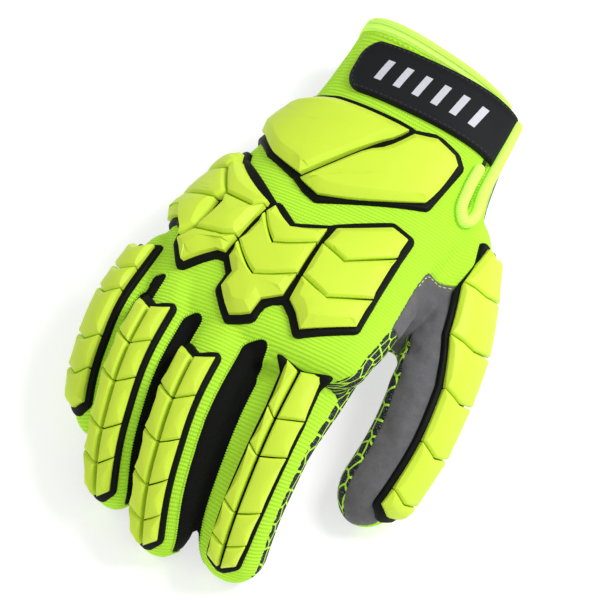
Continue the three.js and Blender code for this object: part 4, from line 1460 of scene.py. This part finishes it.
def on_back(x, y, h):
    """Points on the upper side of the body over places in plan, pushed out by h."""
    x, y, h = np.broadcast_arrays(np.asarray(x, float), np.asarray(y, float), np.asarray(h, float))
    shape = x.shape
    x, y, h = x.ravel(), y.ravel(), h.ravel()
    share = (MOUTH_Y - y) / BODY_LENGTH
    across = x.copy()
    up = np.zeros_like(x)
    for _ in range(12):
        s = BODY.section(share)
        part = np.clip(np.abs(across) / (s["half"] + h), 0, 0.999)
        up = (s["thick"] + h) * (1 - part**BODY_SQUARE) ** (1 / BODY_SQUARE)
        across = (x - s["at"][:, 0] - up * np.sin(s["tilt"])) / np.cos(s["tilt"])
        share = (MOUTH_Y - y + s["side"][:, 1] * across) / BODY_LENGTH
    s = BODY.section(share)
    points = s["at"] + s["side"] * across[:, None] + s["up"] * up[:, None]
    return points.reshape(*shape, 3)


def swept(line, radius, sides=12, flat=1.0, up=None):
    """A closed roll along a line of points, with rounded ends."""
    line = np.asarray(line, float)
    tangent = np.gradient(line, axis=0)
    tangent /= np.linalg.norm(tangent, axis=1)[:, None]
    up = np.asarray(up, float)
    side = np.cross(tangent, up)
    side /= np.linalg.norm(side, axis=1)[:, None]
    over = np.cross(side, tangent)
    travelled = np.concatenate([[0], np.cumsum(np.linalg.norm(np.diff(line, axis=0), axis=1))])
    from_end = np.minimum(travelled, travelled[-1] - travelled)
    size = radius * np.sqrt(np.clip(1 - (1 - np.clip(from_end / radius, 0, 1)) ** 2, 0.01, 1))
    angle = np.arange(sides) * 2 * math.pi / sides
    rings = (
        line[:, None]
        + side[:, None] * (np.cos(angle)[None, :, None] * size[:, None, None])
        + over[:, None] * (np.sin(angle)[None, :, None] * size[:, None, None] * flat)
    )
    return loft(rings)


def smooth_route(spots, count):
    """A smooth line of (along, turn) through chosen spots."""
    spots = np.asarray(spots, float)
    times = np.concatenate([[0], np.cumsum(np.hypot(*(np.diff(spots, axis=0) * (161, 0.7)).T))])
    return cubic(times, spots, np.linspace(0, times[-1], count))


class GLOVE_OT_cuff(bpy.types.Operator):
    """Pale hem round the cuff and rolled binding round its slit."""

    bl_idname = "glove.cuff"
    bl_label = "Cuff"

    def execute(self, context):
        turns = np.linspace(74.5, 360 + 62.5, 220)
        high = HEM_SHARE * BODY_LENGTH + 0.6
        outer, inner = 0.7, -FABRIC - 0.4
        angles = np.radians(np.linspace(50, 310, 14))
        roll = np.column_stack([np.cos(angles), np.sin(angles)]) * HEM_ROLL + (HEM_ROLL + 0.2, -FABRIC / 2)
        band = [
            (2 * HEM_ROLL + 0.4, inner), (high - 0.8, inner), (high, inner + 0.8),
            (high, outer - 0.8), (high - 0.8, outer), (2 * HEM_ROLL + 0.4, outer),
        ]
        profile = np.concatenate([roll, band])
        rings = np.stack(
            [surface(BODY, profile[:, 0] / BODY_LENGTH, turn, profile[:, 1]) for turn in turns]
        )
        points, faces = loft(rings)
        points = resting(points)
        uv = np.zeros((len(points), 2))
        steps = np.arange(len(turns)) * math.radians(348 / len(turns)) * PALM_WIDTH * 0.4
        uv[: rings.shape[0] * rings.shape[1], 0] = np.repeat(steps, len(profile))
        uv[: rings.shape[0] * rings.shape[1], 1] = np.tile(np.arange(len(profile)) * 0.9, len(turns))
        hem = new_object("cuff_hem_band", points, faces, 60, uv)
        finish_piece(hem, MATERIALS["hem"], "hem", "cuff_hem")

        route = smooth_route(BINDING_ROUTE, 90)
        centre = surface(BODY, route[:, 0], route[:, 1], BINDING * 0.8)
        up = surface(BODY, route[:, 0], route[:, 1], 5) - surface(BODY, route[:, 0], route[:, 1], 0)
        points, faces = swept(centre, BINDING, 14, 0.9, up)
        count = len(centre)
        uv = np.zeros((len(points), 2))
        travelled = np.concatenate([[0], np.cumsum(np.linalg.norm(np.diff(centre, axis=0), axis=1))])
        uv[: count * 14, 1] = np.repeat(travelled, 14)
        uv[: count * 14, 0] = np.tile(np.arange(14) * 0.85, count)
        roll = new_object("slit_roll", points, faces, 60, uv)
        finish_piece(roll, MATERIALS["hem"], "hem", "slit_binding")
        return {"FINISHED"}


def strap_point(u, v, h):
    """A place on the strap: u from its free end to its sewn end, v across it, h above the cloth."""
    y = STRAP_EDGE + v * STRAP_WIDTH
    from_side = np.minimum(v, 1 - v) * STRAP_WIDTH
    corner = np.clip(STRAP_ROUND - from_side, 0, STRAP_ROUND)
    start = STRAP_FROM + STRAP_ROUND - np.sqrt(STRAP_ROUND**2 - corner**2)
    return on_back(start + (STRAP_TO - start) * u, y, h)


class GLOVE_OT_strap(bpy.types.Operator):
    """Black strap with a raised edge and plain printed bars."""

    bl_idname = "glove.strap"
    bl_label = "Strap"

    def execute(self, context):
        ease = lambda t: 0.5 - 0.5 * np.cos(np.pi * t)
        u = ease(np.linspace(0, 1, 61))[:, None]
        v = ease(np.linspace(0, 1, 31))[None]
        from_edge = np.minimum(v, 1 - v) * STRAP_WIDTH + 0 * u
        from_end = u * (STRAP_TO - STRAP_FROM) + 0 * v
        near = np.minimum(from_edge, from_end)
        height = STRAP_THICKNESS * np.sqrt(1 - (1 - np.clip(near / 1.1, 0, 1)) ** 2)
        height -= 0.35 * smoothstep(near, 2.2, 3.0)
        top = strap_point(u, v, 0.3 + height)
        bottom = strap_point(u, v, 0.1 + 0 * height)
        points, faces = closed_wall(top.reshape(-1, 3), bottom.reshape(-1, 3), grid_faces(61, 31))
        strap = new_object("wrist_strap", points, faces, 60)
        finish_piece(strap, MATERIALS["strap"], "strap", "cuff_strap")

        solids = []
        for i in range(6):
            a = 0.16 + 0.125 * i
            corners = ((a, 0.3), (a + 0.045, 0.3), (a + 0.075, 0.7), (a + 0.03, 0.7))
            side = np.linspace(0, 1, 5)[:, None]
            rows = []
            for t in np.linspace(0, 1, 4):
                left = np.array(corners[0]) * (1 - t) + np.array(corners[3]) * t
                right = np.array(corners[1]) * (1 - t) + np.array(corners[2]) * t
                rows.append(left * (1 - side) + right * side)
            rows = np.array(rows)
            top = strap_point(rows[..., 0], rows[..., 1], STRAP_THICKNESS + 0.02)
            bottom = strap_point(rows[..., 0], rows[..., 1], STRAP_THICKNESS - 0.4)
            solids.append(closed_wall(top.reshape(-1, 3), bottom.reshape(-1, 3), grid_faces(4, 5)))
        points, faces, start = [], [], 0
        for some, triangles in solids:
            points.append(some)
            faces.append(facing_out(some, triangles) + start)
            start += len(some)
        bars = new_object("strap_bars", np.concatenate(points), np.concatenate(faces), 40)
        finish_piece(bars, MATERIALS["print"], "strap")
        return {"FINISHED"}


def stitch_tree():
    """Geometry nodes that lay stitches end to end along a line of points."""
    tree = bpy.data.node_groups.new("stitch_row", "GeometryNodeTree")
    face = tree.interface
    face.new_socket("Geometry", in_out="INPUT", socket_type="NodeSocketGeometry")
    face.new_socket("Pitch", in_out="INPUT", socket_type="NodeSocketFloat")
    face.new_socket("Length", in_out="INPUT", socket_type="NodeSocketFloat")
    face.new_socket("Radius", in_out="INPUT", socket_type="NodeSocketFloat")
    face.new_socket("Material", in_out="INPUT", socket_type="NodeSocketMaterial")
    face.new_socket("Geometry", in_out="OUTPUT", socket_type="NodeSocketGeometry")
    nodes, links = tree.nodes, tree.links
    given = nodes.new("NodeGroupInput")
    out = nodes.new("NodeGroupOutput")
    curve = nodes.new("GeometryNodeMeshToCurve")
    evenly = nodes.new("GeometryNodeResampleCurve")
    evenly.mode = "LENGTH"
    tangent = nodes.new("GeometryNodeInputTangent")
    turn = nodes.new("FunctionNodeAlignRotationToVector")
    turn.axis = "Z"
    thread = nodes.new("GeometryNodeMeshUVSphere")
    thread.inputs["Segments"].default_value = 8
    thread.inputs["Rings"].default_value = 6
    size = nodes.new("ShaderNodeCombineXYZ")
    half_length = nodes.new("ShaderNodeMath")
    half_length.operation = "MULTIPLY"
    half_length.inputs[1].default_value = 0.5
    place = nodes.new("GeometryNodeInstanceOnPoints")
    realize = nodes.new("GeometryNodeRealizeInstances")
    paint = nodes.new("GeometryNodeSetMaterial")
    thread.inputs["Radius"].default_value = 1.0
    links.new(given.outputs["Geometry"], curve.inputs["Mesh"])
    links.new(curve.outputs["Curve"], evenly.inputs["Curve"])
    links.new(given.outputs["Pitch"], evenly.inputs["Length"])
    links.new(evenly.outputs["Curve"], place.inputs["Points"])
    links.new(thread.outputs["Mesh"], place.inputs["Instance"])
    links.new(tangent.outputs["Tangent"], turn.inputs["Vector"])
    links.new(turn.outputs["Rotation"], place.inputs["Rotation"])
    links.new(given.outputs["Length"], half_length.inputs[0])
    links.new(given.outputs["Radius"], size.inputs[0])
    links.new(given.outputs["Radius"], size.inputs[1])
    links.new(half_length.outputs[0], size.inputs[2])
    links.new(size.outputs[0], place.inputs["Scale"])
    links.new(place.outputs["Instances"], realize.inputs["Geometry"])
    links.new(realize.outputs["Geometry"], paint.inputs["Geometry"])
    links.new(given.outputs["Material"], paint.inputs["Material"])
    links.new(paint.outputs["Geometry"], out.inputs["Geometry"])
    return tree


def stitch_rows(name, lines, pitch, length, radius, material, slot):
    """Rows of stitches along lines of millimetre points, as one piece."""
    points, edges = [], []
    for line in lines:
        start = len(points)
        points.extend((np.asarray(line) * MM).tolist())
        edges.extend((start + i, start + i + 1) for i in range(len(line) - 1))
    mesh = bpy.data.meshes.new(name)
    mesh.from_pydata(points, edges, [])
    rows = bpy.data.objects.new(name, mesh)
    bpy.context.scene.collection.objects.link(rows)
    tree = bpy.data.node_groups.get("stitch_row") or stitch_tree()
    modifier = rows.modifiers.new("stitches", "NODES")
    modifier.node_group = tree
    socket = {item.name: item.identifier for item in tree.interface.items_tree if item.in_out == "INPUT"}
    modifier[socket["Pitch"]] = pitch * MM
    modifier[socket["Length"]] = length * MM
    modifier[socket["Radius"]] = radius * MM
    modifier[socket["Material"]] = MATERIALS[material]
    apply_modifiers(rows)
    rows.data.shade_smooth()
    return finish_piece(rows, MATERIALS[material], slot)


def chains(edges):
    """Puts loose edges together into lines of points."""
    links = {}
    for a, b in edges:
        links.setdefault(int(a), []).append(int(b))
        links.setdefault(int(b), []).append(int(a))
    lines = []
    while links:
        ends = [point for point, others in links.items() if len(others) == 1]
        point = ends[0] if ends else next(iter(links))
        line = [point]
        while links.get(point):
            after = links[point].pop()
            links[after].remove(point)
            if not links[point]:
                del links[point]
            point = after
            line.append(point)
        links.pop(point, None)
        lines.append(line)
    return lines


def contours(field, level, lift, keep, shortest=8.0):
    """Lines on the skin where a field passes a level, lifted off it, where keep holds."""
    data = np.column_stack([SKIN["points"], SKIN["normals"], field, keep])
    data, faces = split_along(data, SKIN["faces"], lambda d: d[:, 6], level)
    above = faces[data[faces, 6].mean(1) > level]
    edges = rim_of(above)
    on_level = np.abs(data[:, 6] - level) < 1e-4
    edges = edges[on_level[edges].all(1) & (data[edges, 7] > 0.5).all(1)]
    points = data[:, :3] + data[:, 3:6] * lift
    lines = [points[line] for line in chains(edges)]
    lines = [(line + np.roll(line, 1, 0) + np.roll(line, -1, 0))[1:-1] / 3 for line in lines]
    return [line for line in lines if len(line) > 3 and path_length(line) > shortest]


def path_length(line):
    """Length along a line of points."""
    return np.linalg.norm(np.diff(line, axis=0), axis=1).sum()


class GLOVE_OT_stitches(bpy.types.Operator):
    """Rows of stitches on the strap, the gusset, the hem and along the side walls."""

    bl_idname = "glove.stitches"
    bl_label = "Stitches"

    def execute(self, context):
        pitch = context.scene.glove_sizes.stitch / MM
        u = np.linspace(0.04, 0.97, 60)
        strap_lines = [strap_point(u, np.full(60, v), STRAP_THICKNESS + 0.25) for v in (0.065, 0.935)]
        arc = np.linspace(0.065, 0.935, 30)
        strap_lines.append(strap_point(np.full(30, 0.022), arc, STRAP_THICKNESS + 0.25))
        stitch_rows("strap_stitches", strap_lines, pitch * 0.85, 1.5, 0.25, "black thread", "strap")

        body, thumb = SKIN["body"], SKIN["thumb"]
        seam, valley = seam_field(), valley_field()
        at_gusset_top = (thumb["share"] < GUSSET_TOP + 0.06) & (thumb["turn"] < -28) & (body["share"] > 0.5)
        at_gusset_top &= SKIN["points"][:, 0] > 0
        at_gusset_top &= (body["share"] < 0.62) & (owned("thumb") | owned("body") | owned("web"))
        lines = contours(seam, -1.3, 0.1, at_gusset_top)
        stitch_rows("gusset_stitches", lines, pitch * 0.85, 1.7, 0.24, "thread", "leather")
        lines = contours(valley, -0.35, 0.0, seam > 0.5)
        stitch_rows("side_wall_stitches", lines, 1.15, 1.0, 0.5, "lime thread", "knit")
        hem_line = body["share"] * BODY_LENGTH
        lines = contours(hem_line, HEM_SHARE * BODY_LENGTH + 1.6, 0.0, slit_field() > 1)
        stitch_rows("hem_stitches", lines, pitch, 1.5, 0.22, "lime thread", "hem")
        return {"FINISHED"}


def view_axes(azimuth, elevation):
    """Right, up and towards-the-viewer directions of a view."""
    a, e = math.radians(azimuth), math.radians(elevation)
    right = Vector((math.cos(a), math.sin(a), 0))
    up = Vector((-math.sin(a) * math.sin(e), math.cos(a) * math.sin(e), math.cos(e)))
    back = Vector((math.sin(a) * math.cos(e), -math.cos(a) * math.cos(e), math.sin(e)))
    return right, up, back


def area_light(name, towards, distance, size, energy):
    """A soft square light that looks at the glove from a direction."""
    data = bpy.data.lights.new(name, "AREA")
    data.size = size * MM
    data.energy = energy
    lamp = bpy.data.objects.new(name, data)
    direction = Vector(towards).normalized()
    lamp.location = direction * distance * MM
    lamp.rotation_mode = "QUATERNION"
    lamp.rotation_quaternion = direction.to_track_quat("Z", "Y")
    bpy.context.scene.collection.objects.link(lamp)
    return lamp


class GLOVE_OT_stage(bpy.types.Operator):
    """Pale floor, soft studio lights and the camera at the photograph's angle."""

    bl_idname = "glove.stage"
    bl_label = "Stage"

    def execute(self, context):
        scene = context.scene
        right, up, back = view_axes(VIEW_AZIMUTH, VIEW_ELEVATION)
        middle = IMAGE_SIZE / 2
        target = right * ((middle - ORIGIN_PIXEL[0]) / PIXELS_PER_MM)
        target -= up * ((middle - ORIGIN_PIXEL[1]) / PIXELS_PER_MM)
        camera = bpy.data.objects.new("camera", bpy.data.cameras.new("camera"))
        camera.data.sensor_width = SENSOR
        camera.data.lens = PIXELS_PER_MM * SENSOR * VIEW_DISTANCE / IMAGE_SIZE
        camera.data.clip_start, camera.data.clip_end = 1, 40
        camera.location = (target + back * VIEW_DISTANCE) * MM
        camera.rotation_mode = "QUATERNION"
        camera.rotation_quaternion = back.to_track_quat("Z", "Y")
        scene.collection.objects.link(camera)
        scene.camera = camera

        corners = ((-1, -1), (1, -1), (1, 1), (-1, 1))
        floor_points = np.array([(FLOOR_HALF * x, FLOOR_HALF * y, -FLOOR_DROP) for x, y in corners])
        mesh = bpy.data.meshes.new("floor")
        mesh.from_pydata((floor_points * MM).tolist(), [], [(0, 1, 2, 3)])
        floor = bpy.data.objects.new("floor", mesh)
        scene.collection.objects.link(floor)
        finish = Shader("Pale Floor")
        finish.set(base_color=(0.6, 0.6, 0.6, 1), roughness=0.9, specular_ior_level=0.0)
        finish.set(emission_color=(1, 1, 1, 1), emission_strength=0.6)
        floor.data.materials.append(finish.material)

        world = bpy.data.worlds.new("studio")
        world.use_nodes = True
        world.node_tree.nodes["Background"].inputs[0].default_value = (1, 1, 1, 1)
        world.node_tree.nodes["Background"].inputs[1].default_value = 0.53
        scene.world = world
        scene.view_settings.view_transform = "Standard"
        area_light("key", back * 0.85 + up * 0.5 + right * 0.75, 1300, 550, 13.5)
        area_light("fill", back * 0.9 - right * 0.5 - up * 0.5, 1400, 1100, 2)
        return {"FINISHED"}


class GLOVE_PT_panel(bpy.types.Panel):
    """The glove's pieces, in the order that they are made."""

    bl_label = "Impact Glove"
    bl_idname = "GLOVE_PT_panel"
    bl_space_type = "VIEW_3D"
    bl_region_type = "UI"
    bl_category = "Glove"

    def draw(self, context):
        for group in (context.scene.glove_sizes, context.scene.glove_colours):
            for name in group.__annotations__:
                self.layout.prop(group, name)
        for operator in OPERATORS:
            self.layout.operator(operator.bl_idname)


OPERATORS = (
    GLOVE_OT_stage,
    GLOVE_OT_shell,
    GLOVE_OT_borders,
    GLOVE_OT_back_pads,
    GLOVE_OT_digit_pads,
    GLOVE_OT_cuff,
    GLOVE_OT_strap,
    GLOVE_OT_stitches,
)
CLASSES = (GloveColours, GloveSizes, *OPERATORS, GLOVE_PT_panel)


def register():
    for one in CLASSES:
        bpy.utils.register_class(one)
    bpy.types.Scene.glove_colours = bpy.props.PointerProperty(type=GloveColours)
    bpy.types.Scene.glove_sizes = bpy.props.PointerProperty(type=GloveSizes)


def unregister():
    del bpy.types.Scene.glove_sizes
    del bpy.types.Scene.glove_colours
    for one in reversed(CLASSES):
        bpy.utils.unregister_class(one)


def main():
    """Makes every piece in order."""
    register()
    make_materials()
    for operator in OPERATORS:
        group, name = operator.bl_idname.split(".")
        getattr(getattr(bpy.ops, group), name)()
    bpy.context.view_layer.update()


if __name__ == "__main__":
    main()
